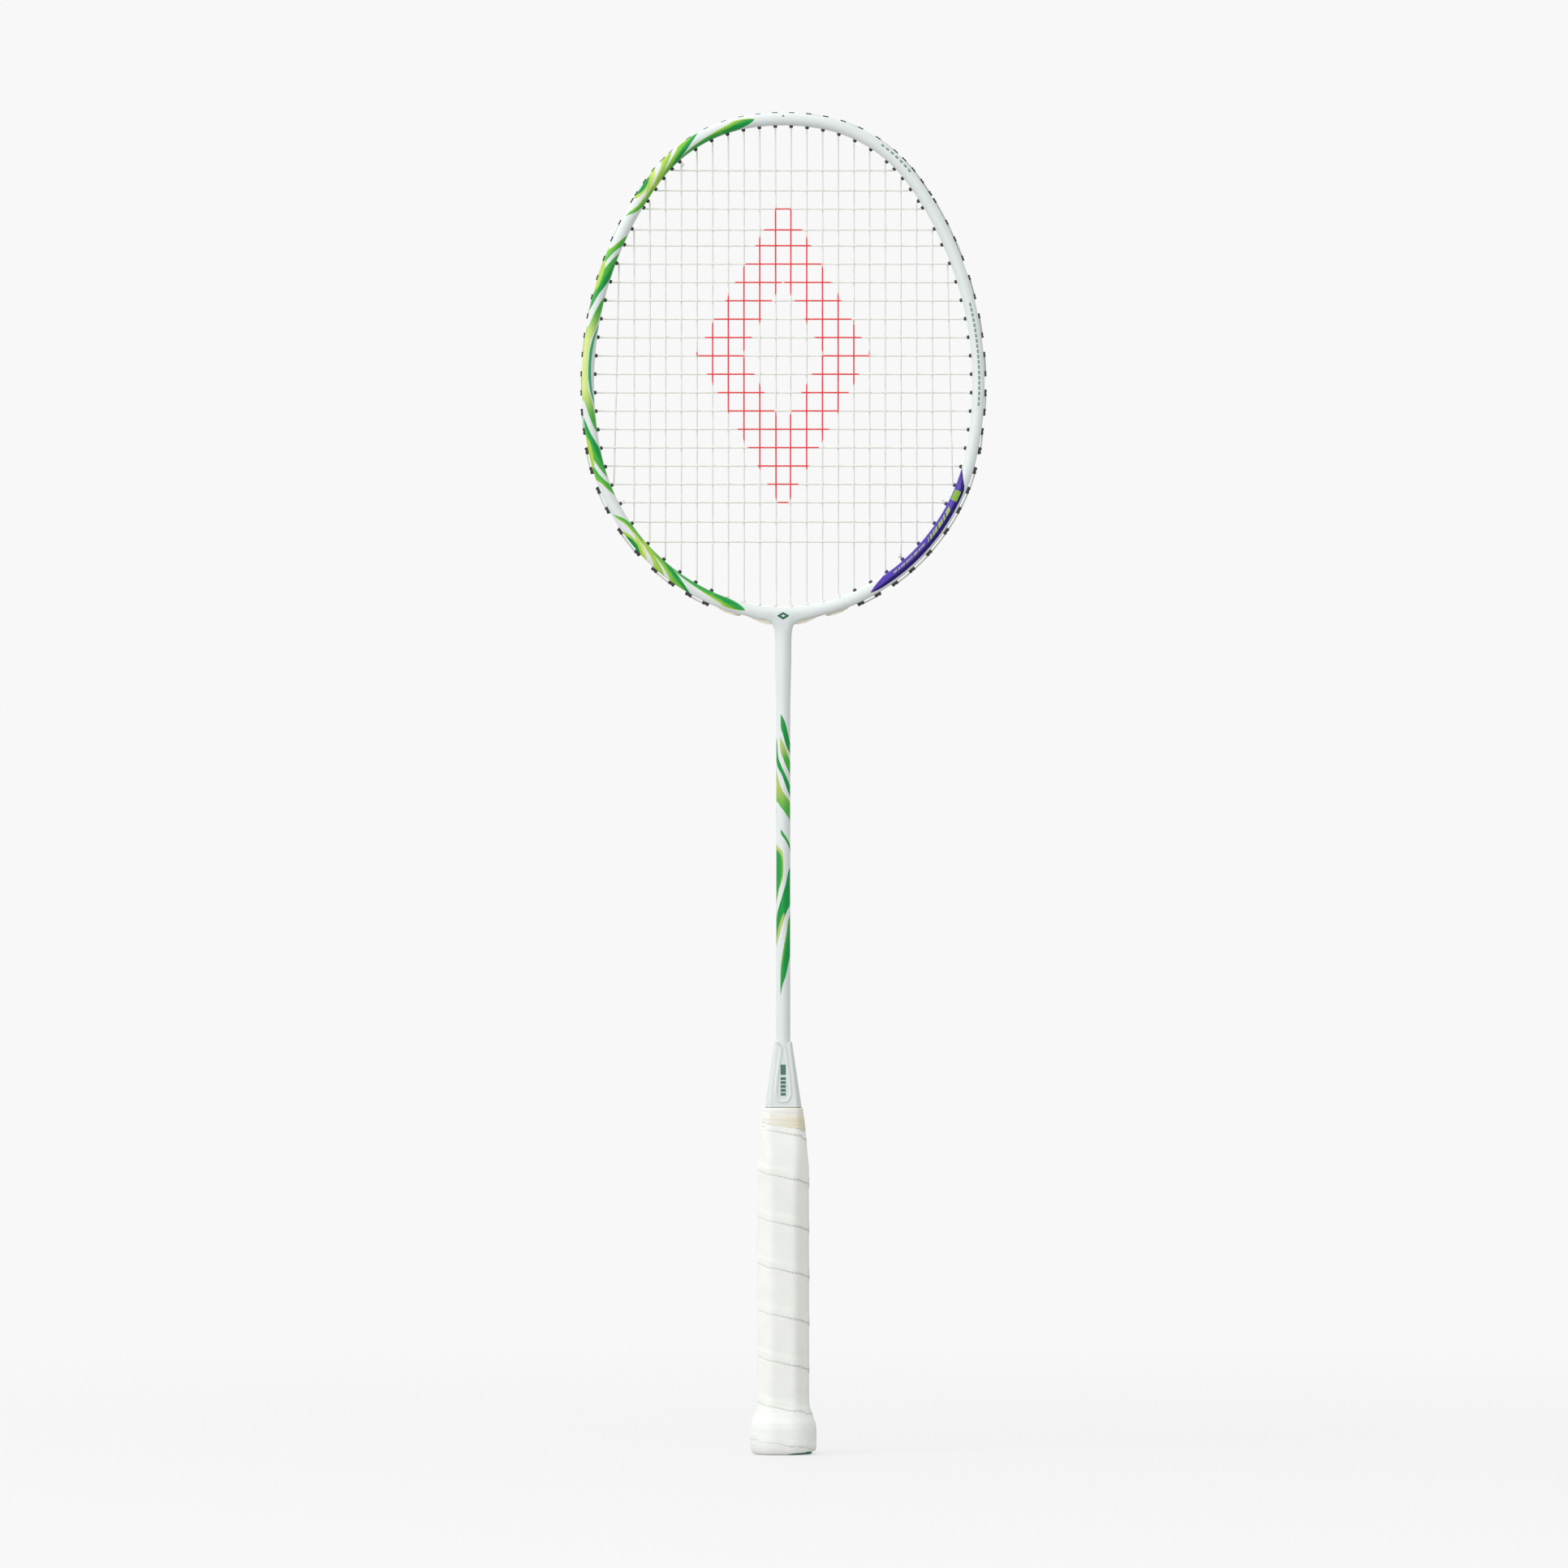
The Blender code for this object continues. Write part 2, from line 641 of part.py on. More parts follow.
def main_line(holes, side, column):
    """Ends of a main string's straight run, in the middle plane of the strings."""
    ends = []
    for carried in (BOTTOM_MAINS, TOP_MAINS):
        index = next(i for i, c in carried.items() if c == column)
        ends.append(holes[side, index].turn_inside(0.0))
    return ends


def outside_run(holes, side, start, stop, side_of_strings):
    """String outside the ring from one hole to another, past any hole in between."""
    step = 1 if stop > start else -1
    path = []
    for index in range(start, stop + step, step):
        hole = holes[side, index]
        if index in (start, stop):
            path.append(hole.turn_outside(hole_offset(hole, side_of_strings)))
        else:
            path.append(hole.turn_outside(side_of_strings * BYPASS_OFFSET))
    return path


def knot(hole, side_of_strings):
    """Knot inside the ring at a string's end, from the knot towards the hole."""
    far = hole.point(STRING_TURN - 2 * KNOT_LENGTH, side_of_strings * 2 * KNOT_LENGTH)
    near = hole.point(STRING_TURN - KNOT_LENGTH, side_of_strings * 1.5 * KNOT_LENGTH)
    return [far, near], [KNOT_RADIUS, KNOT_RADIUS]


def main_string(holes):
    """One string through all mains, from a knot low on the right to one low on the left."""
    top_of = {column: index for index, column in TOP_MAINS.items()}
    bottom_of = {column: index for index, column in BOTTOM_MAINS.items()}
    path, radii = knot(holes[1, MAIN_KNOT_INDEX], 1)
    path.append(holes[1, MAIN_KNOT_INDEX].turn_inside(TWO_STRING_OFFSET))
    path += outside_run(holes, 1, MAIN_KNOT_INDEX, bottom_of[MAINS_PER_SIDE], 1)
    for column in range(MAINS_PER_SIDE, 0, -1):
        goes_up = column % 2 == 1
        ends = [holes[1, bottom_of[column]], holes[1, top_of[column]]]
        lead = Vector((0, 0, STRING_LEAD_IN))
        bed = []
        for hole, inward in zip(ends, (lead, -lead)):
            offset = hole_offset(hole, 1)
            turn = hole.turn_inside(offset)
            straight = [turn - CROSSWAYS * offset + inward] if hole.two_strings else []
            bed.append([turn] + straight)
        run = bed[0] + bed[1][::-1]
        path += run if goes_up else run[::-1]
        if column > 1:
            index_of = top_of if goes_up else bottom_of
            path += outside_run(holes, 1, index_of[column], index_of[column - 1], 1)
    path.append(holes[1, HOLES_PER_SIDE].turn_outside(0.0))
    path += [p * Vector((-1, 1, 1)) for p in reversed(path)]
    radii += [STRING_RADIUS] * (len(path) - 2 * len(radii)) + radii[::-1]
    string = tube_along("main_string", path, radii)
    finish(string, (0.90, 0.91, 0.88), 0.4)


def cross_string(holes):
    """One string through all crosses, woven over and under the mains."""
    hole_of = {row: index for index, row in CROSS_HOLES.items()}
    columns = [-c for c in range(MAINS_PER_SIDE, 0, -1)] + list(range(1, MAINS_PER_SIDE + 1))
    start = holes[CROSS_START_KNOT]
    path, radii = knot(start, -1)
    knot_radii = list(radii)
    path.append(start.turn_inside(-TWO_STRING_OFFSET))
    path += outside_run(holes, -1, start.index, hole_of[1], -1)
    for row in range(1, CROSS_COUNT + 1):
        left, right = holes[-1, hole_of[row]], holes[1, hole_of[row]]
        ends = [hole.turn_inside(hole_offset(hole, -1)) for hole in (left, right)]
        bed = []
        for place, column in enumerate(columns):
            low, high = main_line(holes, 1 if column > 0 else -1, abs(column))
            share = (cross_z(row) - low.z) / (high.z - low.z)
            x = low.lerp(high, share).x
            if abs(x) < abs(ends[1].x) - 0.001:
                over = 1 if (place + row) % 2 else -1
                z = ends[0].lerp(ends[1], (x - ends[0].x) / (ends[1].x - ends[0].x)).z
                bed.append(Vector((x, over * WEAVE_HEIGHT, z)))
        run = [ends[0], *bed, ends[1]]
        path += run if row % 2 else run[::-1]
        if row < CROSS_COUNT:
            side = 1 if row % 2 else -1
            path += outside_run(holes, side, hole_of[row], hole_of[row + 1], -1)
    finish_side, finish_index = CROSS_END_KNOT
    path += outside_run(holes, finish_side, hole_of[CROSS_COUNT], finish_index, -1)
    end = holes[CROSS_END_KNOT]
    path.append(end.turn_inside(-TWO_STRING_OFFSET))
    path += knot(end, -1)[0][::-1]
    radii = knot_radii + [STRING_RADIUS] * (len(path) - 2 * len(knot_radii)) + knot_radii
    string = tube_along("cross_string", path, radii)
    finish(string, (0.90, 0.91, 0.88), 0.4)


# ---------------------------------------------------------------- build

def build():
    for leftover in list(bpy.data.objects):
        bpy.data.objects.remove(leftover)
    holes, borders = make_holes()
    head_frame(holes, borders)
    t_joint(holes)
    shaft()
    cone_cap()
    handle_core()
    finish(staple("grip_staple"), (0.70, 0.70, 0.72), 0.3, metallic=1.0)
    end_cap()
    finish(sleeve("grip_wrap", GRIP_OUTSIDE), (0.90, 0.91, 0.89), 0.75)
    finish(sleeve("finishing_tape", TAPE_OUTSIDE), (0.86, 0.80, 0.68), 0.5)
    grommets(holes)
    main_string(holes)
    cross_string(holes)


build()
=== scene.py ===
"""Badminton racket: painted head and shaft, woven strings, grommets and a wrapped grip.

+Z runs from the butt to the head, +X across the head and +Y through the strings; the front faces
-Y. Lengths are in metres. Paint coordinates are in millimetres and degrees.
"""

import math
from dataclasses import dataclass

import bpy
import numpy as np
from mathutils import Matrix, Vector


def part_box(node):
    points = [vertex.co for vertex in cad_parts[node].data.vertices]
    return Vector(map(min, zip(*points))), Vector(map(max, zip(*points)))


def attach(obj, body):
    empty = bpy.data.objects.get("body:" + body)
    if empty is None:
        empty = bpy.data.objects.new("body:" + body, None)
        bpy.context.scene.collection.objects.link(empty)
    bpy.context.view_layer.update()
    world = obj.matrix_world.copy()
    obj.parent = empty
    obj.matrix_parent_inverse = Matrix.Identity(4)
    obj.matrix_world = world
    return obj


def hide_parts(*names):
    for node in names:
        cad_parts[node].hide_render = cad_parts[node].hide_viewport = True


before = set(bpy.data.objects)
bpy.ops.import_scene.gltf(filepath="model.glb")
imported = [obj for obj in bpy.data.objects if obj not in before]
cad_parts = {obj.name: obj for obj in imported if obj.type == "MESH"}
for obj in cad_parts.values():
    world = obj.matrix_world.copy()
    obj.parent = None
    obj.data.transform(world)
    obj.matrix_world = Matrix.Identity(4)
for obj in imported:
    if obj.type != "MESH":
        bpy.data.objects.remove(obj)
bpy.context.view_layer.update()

MM = 0.001
CROSSWAYS = Vector((0.0, 1.0, 0.0))

# Places of the solids that the pieces stand for
head_top_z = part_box("head_frame")[1].z
shaft_low, shaft_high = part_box("shaft")
cone_low, cone_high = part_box("cone_cap")
tape_top_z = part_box("finishing_tape")[1].z
grip_top_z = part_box("grip_wrap")[1].z
cap_low, cap_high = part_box("end_cap")

# Head ring: arcs of its inside face from the bottom up one side, as (radius, degrees)
HEAD_ARCS = ((0.0863, 24.8), (0.0993, 53.6), (0.1717, 47.6), (0.0692, 43.6))
TUBE_WIDTH = 0.0060
RING_STEPS = 720

# Strings
MAINS_PER_SIDE = 11
MAIN_PITCH = 0.0080
OUTER_MAIN_X = 0.0854
CROSS_COUNT = 21
CROSS_TOP_Z = 0.6473
CROSS_SECOND_Z = 0.6371
CROSS_BOTTOM_Z = 0.4585
CROSS_PITCH = 0.009306
STRING_RADIUS = 0.00040
STRING_BEND = 0.0010
STRING_POINT_SPACING = 0.00005
WEAVE_HEIGHT = 0.00042
TWO_STRING_OFFSET = 0.00052
BYPASS_OFFSET = 0.00080
STRING_TURN = -0.0016
BARREL_TIP = -0.0012
HOLES_PER_SIDE = 38


# ---------------------------------------------------------------- mesh helpers

def new_mesh(name, vertices, faces, sharp_angle=None, smooth=True):
    """Mesh object from vertices and faces."""
    mesh = bpy.data.meshes.new(name)
    mesh.from_pydata([tuple(v) for v in vertices], [], [tuple(f) for f in faces])
    mesh.validate()
    mesh.update()
    if smooth:
        mesh.shade_smooth()
    if sharp_angle is not None:
        mesh.set_sharp_from_angle(angle=math.radians(sharp_angle))
    piece = bpy.data.objects.new(name, mesh)
    bpy.context.scene.collection.objects.link(piece)
    return piece


def between(below, above):
    """Quads between two closed rings of vertex numbers."""
    return list(zip(below, below[1:] + below[:1], above[1:] + above[:1], above))


def grid_faces(rows, columns, close_rows=False, first=0):
    """Quads over a grid whose columns wrap round; the rows wrap round as well when closed."""
    rings = [list(range(first + row * columns, first + (row + 1) * columns)) for row in range(rows)]
    above = rings[1:] + rings[:1] * close_rows
    return [face for pair in zip(rings, above) for face in between(*pair)]


def loft(name, rings, closed=False, sharp_angle=None):
    """Skin over rings with equal numbers of points; capped unless the rings close on themselves."""
    rings = np.asarray(rings, float)
    rows, columns = rings.shape[:2]
    faces = grid_faces(rows, columns, closed)
    if not closed:
        faces.append(range(columns)[::-1])
        faces.append(range((rows - 1) * columns, rows * columns))
    return new_mesh(name, rings.reshape(-1, 3), faces, sharp_angle)


def circle(corners):
    """Angles of the corners round a circle."""
    return np.linspace(0, 2 * math.pi, corners, endpoint=False)


def store(piece, name, values):
    """Keep one number for each vertex, for the paint to read."""
    layer = piece.data.attributes.new(name, "FLOAT", "POINT")
    layer.data.foreach_set("value", np.asarray(values, np.float32).ravel())


def merge(name, pieces, sharp_angle):
    """One object from several; the others are removed."""
    vertices, faces = [], []
    for piece in pieces:
        first = len(vertices)
        vertices += [tuple(v.co) for v in piece.data.vertices]
        faces += [tuple(first + i for i in face.vertices) for face in piece.data.polygons]
        bpy.data.objects.remove(piece)
    return new_mesh(name, vertices, faces, sharp_angle)


def dress(piece, node, finish):
    """Give a piece its finish and the place of the solid it stands for."""
    piece.data.materials.append(finish)
    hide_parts(node)
    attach(piece, "root")


def smoothstep(low, high, value):
    share = np.clip((np.asarray(value, float) - low) / (high - low), 0.0, 1.0)
    return share * share * (3 - 2 * share)


def corner_cut(points, rounds=2):
    """Closed outline with its corners cut off, again and again, towards a smooth curve."""
    points = np.asarray(points, float)
    for _ in range(rounds):
        after = np.roll(points, -1, axis=0)
        cut = np.stack([points * 0.75 + after * 0.25, points * 0.25 + after * 0.75], axis=1)
        points = cut.reshape(-1, points.shape[1])
    return points


def bend(start, corner, end, steps):
    """Points of a curve from start to end that leans towards the corner."""
    shares = [step / steps for step in range(steps + 1)]
    return [start * (1 - t) ** 2 + corner * 2 * t * (1 - t) + end * t ** 2 for t in shares]


def unit(vectors):
    return vectors / np.linalg.norm(vectors, axis=1)[:, None]


def string_tube(name, path, corners=8, dome=0.6):
    """Round string along a path, with its ends closed by small domes."""
    path = np.asarray(path, float)
    steps = unit(np.diff(path, axis=0))
    tangents = unit(np.vstack([steps[:1], steps[:-1] + steps[1:], steps[-1:]]))
    side = np.cross(tangents[0], CROSSWAYS)
    sides = []
    for tangent in tangents:
        side = side - tangent * np.dot(side, tangent)
        side /= np.linalg.norm(side)
        sides.append(side)
    sides = np.array(sides)
    ups = np.cross(tangents, sides)
    turns = circle(corners)[None, :, None]
    around = (np.cos(turns) * sides[:, None] + np.sin(turns) * ups[:, None]) * STRING_RADIUS
    first = path[:1, None] + around[:1] * dome - tangents[0] * STRING_RADIUS * dome
    last = path[-1:, None] + around[-1:] * dome + tangents[-1] * STRING_RADIUS * dome
    return loft(name, np.concatenate([first, path[:, None] + around, last]))


def rounded_path(path, radius, straight=math.radians(15)):
    """Path with its sharp turns bent to a curve, without points that nearly coincide."""
    out = [path[0]]
    for before, here, after in zip(path, path[1:], path[2:]):
        into, away = here - before, after - here
        if into.angle(away) < straight:
            out.append(here)
            continue
        reach = min(radius, into.length * 0.48, away.length * 0.48)
        out += bend(here - into.normalized() * reach, here, here + away.normalized() * reach, 4)
    out.append(path[-1])
    kept = out[:1]
    for point in out[1:]:
        if (point - kept[-1]).length > STRING_POINT_SPACING:
            kept.append(point)
    return kept


# ---------------------------------------------------------------- head outline

def arc_step(start, end):
    """Chord of a unit arc between two angles of its normal."""
    return Vector((math.sin(end) - math.sin(start), 0, math.cos(start) - math.cos(end)))


def inside_face(angle):
    """Point on the ring's inside face, from its bottom point, and the outward normal there."""
    point = Vector((0, 0, 0))
    start = 0.0
    for radius, degrees in HEAD_ARCS:
        end = min(angle, start + math.radians(degrees))
        point += radius * arc_step(start, end)
        start = end
    if angle > start:
        point += point.x / math.sin(start) * arc_step(start, angle)
    return point, Vector((math.sin(angle), 0, -math.cos(angle)))


head_bottom_z = head_top_z - TUBE_WIDTH - inside_face(math.pi)[0].z
outline_angles = np.linspace(0, math.pi, 2881)
outline_points = np.array([inside_face(angle)[0] for angle in outline_angles])
outline_steps = np.linalg.norm(np.diff(outline_points, axis=0), axis=1)
outline_lengths = np.concatenate([[0.0], np.cumsum(outline_steps)])
half_round = outline_lengths[-1]


def on_outline(along):
    """Foot on the inside face and outward normal at a length from the bottom, + towards +X."""
    foot, outward = inside_face(float(np.interp(abs(along), outline_lengths, outline_angles)))
    side = -1 if along < 0 else 1
    foot = Vector((foot.x * side, 0, foot.z + head_bottom_z))
    return foot, Vector((outward.x * side, 0, outward.z))


# ---------------------------------------------------------------- string holes

BOTTOM_MAINS = {column: column for column in range(1, 11)} | {12: 11}
TOP_MAINS = {24: 11, 26: 10, 28: 9, 30: 8} | {39 - column: column for column in range(1, 8)}
CROSS_HOLES = {9: 21, 10: 20, 11: 19} | {30 - row: row for row in range(6, 19)} | {
    25: 5, 26: 4, 27: 3, 29: 2, 31: 1}
MAIN_KNOT_INDEX = 11
CROSS_START_KNOT = (-1, 32)
CROSS_END_KNOT = (1, 8)
TIED_OFF = (MAIN_KNOT_INDEX, CROSS_START_KNOT[1], CROSS_END_KNOT[1])
HOLE_LEAN = {1: 0.50, 2: 0.12}
LAST_SINGLE = {1: 17, -1: 16}

# Distance outwards of a flange's rim, in mm, and of the string that lies in it
CLEAR_TOP = 8.2
CLEAR_LAST = 4
SINGLE_TOP = 7.8
UPPER_SINGLE_TOP = 7.3
PAIR_TOP = {1: 7.2, -1: 6.95}
CROWN_TOP = 6.7
STRING_UNDER_RIM = 0.45


@dataclass
class Hole:
    """One drilled hole. Index counts up from the bottom on each side; side is -1 or 1."""
    side: int
    index: int
    foot: Vector
    outward: Vector
    two_strings: bool
    along: float

    def point(self, depth, crossways=0.0):
        return self.foot + self.outward * depth + CROSSWAYS * crossways

    def sideways(self):
        return self.outward.cross(CROSSWAYS).normalized()

    def rim_top(self):
        """How far out the flange here stands, in mm."""
        if self.index <= CLEAR_LAST:
            return CLEAR_TOP - 0.3 * (self.index > 2)
        if self.index == HOLES_PER_SIDE:
            return CROWN_TOP
        if self.index <= LAST_SINGLE[self.side]:
            return SINGLE_TOP if self.index < 15 else UPPER_SINGLE_TOP
        return PAIR_TOP[self.side] - 0.35 * smoothstep(28, 32, self.index)

    def string_depth(self):
        under = STRING_UNDER_RIM * (2 if self.index <= CLEAR_LAST else 1)
        return (self.rim_top() - under) * MM

    def inner_turn(self, side_of_strings):
        """Where a string bends inside the ring, in front of or behind its neighbour."""
        return self.point(STRING_TURN, side_of_strings * TWO_STRING_OFFSET * self.two_strings)

    def outer_turn(self, side_of_strings):
        """Where a string bends outside the ring."""
        return self.point(self.string_depth(), side_of_strings * TWO_STRING_OFFSET * self.two_strings)


def main_x(column):
    return OUTER_MAIN_X if column == MAINS_PER_SIDE else MAIN_PITCH * (column - 0.5)


def cross_z(row):
    ends = {1: CROSS_TOP_Z, CROSS_COUNT: CROSS_BOTTOM_Z}
    return ends.get(row, CROSS_SECOND_Z - CROSS_PITCH * (row - 2))


def hole_axis(angle, index):
    foot, outward = inside_face(angle)
    foot = foot + Vector((0, 0, head_bottom_z))
    return foot, (outward + Vector((HOLE_LEAN.get(index, 0.0), 0, 0))).normalized()


def find_angle(index):
    """Outline angle at which the barrel's inner end lies on its main or its cross."""
    column = BOTTOM_MAINS.get(index, TOP_MAINS.get(index))
    if column is None or column == MAINS_PER_SIDE:
        axis, target, low, high = 2, cross_z(CROSS_HOLES[index]), 0.0, math.pi
    else:
        axis, target, low, high = 0, main_x(column), math.pi * (index in TOP_MAINS), math.pi / 2
    for _ in range(50):
        middle = (low + high) / 2
        foot, outward = hole_axis(middle, index)
        if (foot + outward * BARREL_TIP / 2)[axis] < target:
            low = middle
        else:
            high = middle
    return low


def make_holes():
    made = {}
    for index in range(1, HOLES_PER_SIDE + 1):
        angle = find_angle(index)
        foot, outward = hole_axis(angle, index)
        along = float(np.interp(angle, outline_angles, outline_lengths))
        shared = (index in BOTTOM_MAINS or index in TOP_MAINS) and index in CROSS_HOLES
        for side in (-1, 1):
            mirror = Vector((side, 1, 1))
            made[side, index] = Hole(side, index, foot * mirror, outward * mirror,
                                     shared or index in TIED_OFF, side * along)
    return made


holes = make_holes()


# ---------------------------------------------------------------- node helpers

class Value:
    """Output of a shader node. Sums with it add nodes to its tree."""

    def __init__(self, socket):
        self.socket = socket
        self.tree = socket.id_data

    def __add__(self, other):
        return calc("ADD", self, other)

    def __sub__(self, other):
        return calc("SUBTRACT", self, other)

    def __rsub__(self, other):
        return calc("SUBTRACT", other, self)

    def __mul__(self, other):
        return calc("MULTIPLY", self, other)

    def __truediv__(self, other):
        return calc("DIVIDE", self, other)

    def __abs__(self):
        return calc("ABSOLUTE", self)

    def ramp(self, low, high, low_out=0.0, high_out=1.0, smooth=True):
        """From one range to another, held at its ends."""
        inputs = {"Value": self, "From Min": low, "From Max": high, "To Min": low_out, "To Max": high_out}
        return add_node(self.tree, "MapRange", inputs,
                        interpolation_type="SMOOTHSTEP" if smooth else "LINEAR")


def plug(socket, value):
    """Feed a socket from a node, or give it a plain number, colour or vector."""
    if isinstance(value, Value):
        value.tree.links.new(value.socket, socket)
    elif value is not None:
        socket.default_value = (*value, 1.0) if socket.type == "RGBA" else value


def add_node(tree, kind, inputs=None, output=0, **settings):
    """Output of a new shader node, with its inputs given by name or by number."""
    made = tree.nodes.new("ShaderNode" + kind)
    for name, setting in settings.items():
        setattr(made, name, setting)
    for name, value in (inputs or {}).items():
        plug(made.inputs[name], value)
    return Value(made.outputs[output])


def tree_of(values):
    return next(value.tree for value in values if isinstance(value, Value))


def calc(operation, *values, clamp=False):
    return add_node(tree_of(values), "Math", dict(enumerate(values)), operation=operation,
                    use_clamp=clamp)


def blend(factor, first, second, mode="MIX"):
    return add_node(tree_of((factor, first, second)), "Mix", {0: factor, 6: first, 7: second}, 2,
                    data_type="RGBA", blend_type=mode)


def shaded(colour, shade):
    return blend(1.0, colour, shade, "MULTIPLY")


def mix_shaders(factor, first, second):
    return add_node(factor.tree, "MixShader", {0: factor, 1: first, 2: second})


def bump(height, distance, strength, under=None):
    inputs = {"Strength": strength, "Distance": distance, "Height": height, "Normal": under}
    return add_node(height.tree, "Bump", inputs, "Normal")


def band(value, low, high, edge=0.12):
    """1 between a low and a high value, with soft edges."""
    return value.ramp(low - edge, low + edge) * value.ramp(high - edge, high + edge, 1.0, 0.0)


def dashes(along, start, stop, pitch, share):
    """Row of plain bars with even spaces, as a mask."""
    part = calc("FRACT", along / pitch)
    bar = abs(part - 0.5).ramp(share / 2 - 0.02, share / 2 + 0.02, 1.0, 0.0)
    return bar * band(along, start, stop, 0.2)


def curve(value, points, x_range, y_range):
    """Value of a curve drawn through points, read at the given value."""
    drawn = value.tree.nodes.new("ShaderNodeFloatCurve")
    plug(drawn.inputs["Value"], value.ramp(*x_range, smooth=False))
    line = drawn.mapping.curves[0]
    while len(line.points) < len(points):
        line.points.new(0.5, 0.5)
    for point, place in zip(line.points, sorted(points)):
        x, y = ((at - low) / (high - low) for at, (low, high) in zip(place, (x_range, y_range)))
        point.location = (x, min(max(y, 0.0), 1.0))
        point.handle_type = "AUTO_CLAMPED"
    drawn.mapping.update()
    return Value(drawn.outputs[0]).ramp(0.0, 1.0, *y_range, smooth=False)


class Finish:
    """Node material in the making."""

    def __init__(self, name):
        self.material = bpy.data.materials.new(name)
        self.material.use_nodes = True
        self.tree = self.material.node_tree
        self.shader = self.tree.nodes["Principled BSDF"]

    def attribute(self, name):
        return add_node(self.tree, "Attribute", output="Fac", attribute_name=name)

    def position(self):
        return add_node(self.tree, "TexCoord", output="Object")

    def axes(self):
        """The piece's own x, y and z."""
        return [add_node(self.tree, "SeparateXYZ", {0: self.position()}, axis) for axis in range(3)]

    def stretched(self, along_z):
        """Position with its height scaled, for grain that runs along or across the handle."""
        inputs = {"Vector": self.position(), "Scale": (1.0, 1.0, along_z)}
        return add_node(self.tree, "Mapping", inputs)

    def noise(self, scale, detail=3.0, roughness=0.5, vector=None):
        inputs = {"Scale": scale, "Detail": detail, "Roughness": roughness,
                  "Vector": vector or self.position()}
        return add_node(self.tree, "TexNoise", inputs, "Fac")

    def uneven(self, scale, low, high, detail=3.0, start=0.3, stop=0.7):
        """Noise spread from a low to a high value."""
        return self.noise(scale, detail).ramp(start, stop, low, high)

    def surface(self, colour, roughness, normal, **others):
        """Feed the surface; the rest are named like its inputs, with _ for each space."""
        others |= {"Base_Color": colour, "Roughness": roughness, "Normal": normal}
        for name, value in others.items():
            plug(self.shader.inputs[name.replace("_", " ")], value)
        return self.material

    def lacquer(self, colour, roughness, coat=0.2, specular=0.14):
        """Gloss finish: faint mottling, fine ripple, and roughness that varies a little."""
        return self.surface(
            shaded(colour, self.uneven(60.0, 0.985, 1.0)),
            self.uneven(300.0, roughness, roughness + 0.06, 4.0),
            bump(self.noise(500.0, 2.0), 0.00001, 0.10),
            Coat_Weight=coat, Coat_Roughness=0.06, Specular_IOR_Level=specular)


# ---------------------------------------------------------------- paint

WHITE = (0.71, 0.755, 0.75)
EMERALD = (0.004, 0.30, 0.050)
GREEN = (0.060, 0.42, 0.050)
SPRING = (0.21, 0.52, 0.050)
LIME = (0.40, 0.60, 0.070)
PALE_LIME = (0.60, 0.72, 0.22)
OLIVE = (0.42, 0.52, 0.12)
TEAL = (0.045, 0.36, 0.15)
PURPLE = (0.080, 0.038, 0.38)
NAVY = (0.013, 0.004, 0.135)
DARK_GREEN = (0.02, 0.13, 0.08)


@dataclass
class Leaf:
    """Painted stroke between a low and a high edge, each drawn through (along, across) points."""
    low: tuple
    high: tuple
    low_colour: tuple
    high_colour: tuple
    turn: tuple = (0.25, 0.85)
    fade: tuple | None = None
    rim: tuple | None = None


def paint_leaf(under, leaf, along, across, ranges, edge):
    """Leaf over a colour. Its colour turns from the low edge's to the high edge's."""
    low, high = (curve(along, points, *ranges) for points in (leaf.low, leaf.high))
    share = calc("DIVIDE", across - low, calc("MAXIMUM", high - low, edge), clamp=True)
    shift = share.ramp(*leaf.turn)
    if leaf.fade is not None:
        shift = shift * along.ramp(*leaf.fade)
    colour = blend(shift, leaf.low_colour, leaf.high_colour)
    if leaf.rim is not None:
        colour = blend(share.ramp(0.80, 0.95), colour, leaf.rim)
    within = (across - low).ramp(-edge, edge) * (high - across).ramp(-edge, edge)
    return blend(within * (high - low).ramp(0.0, edge), under, colour)


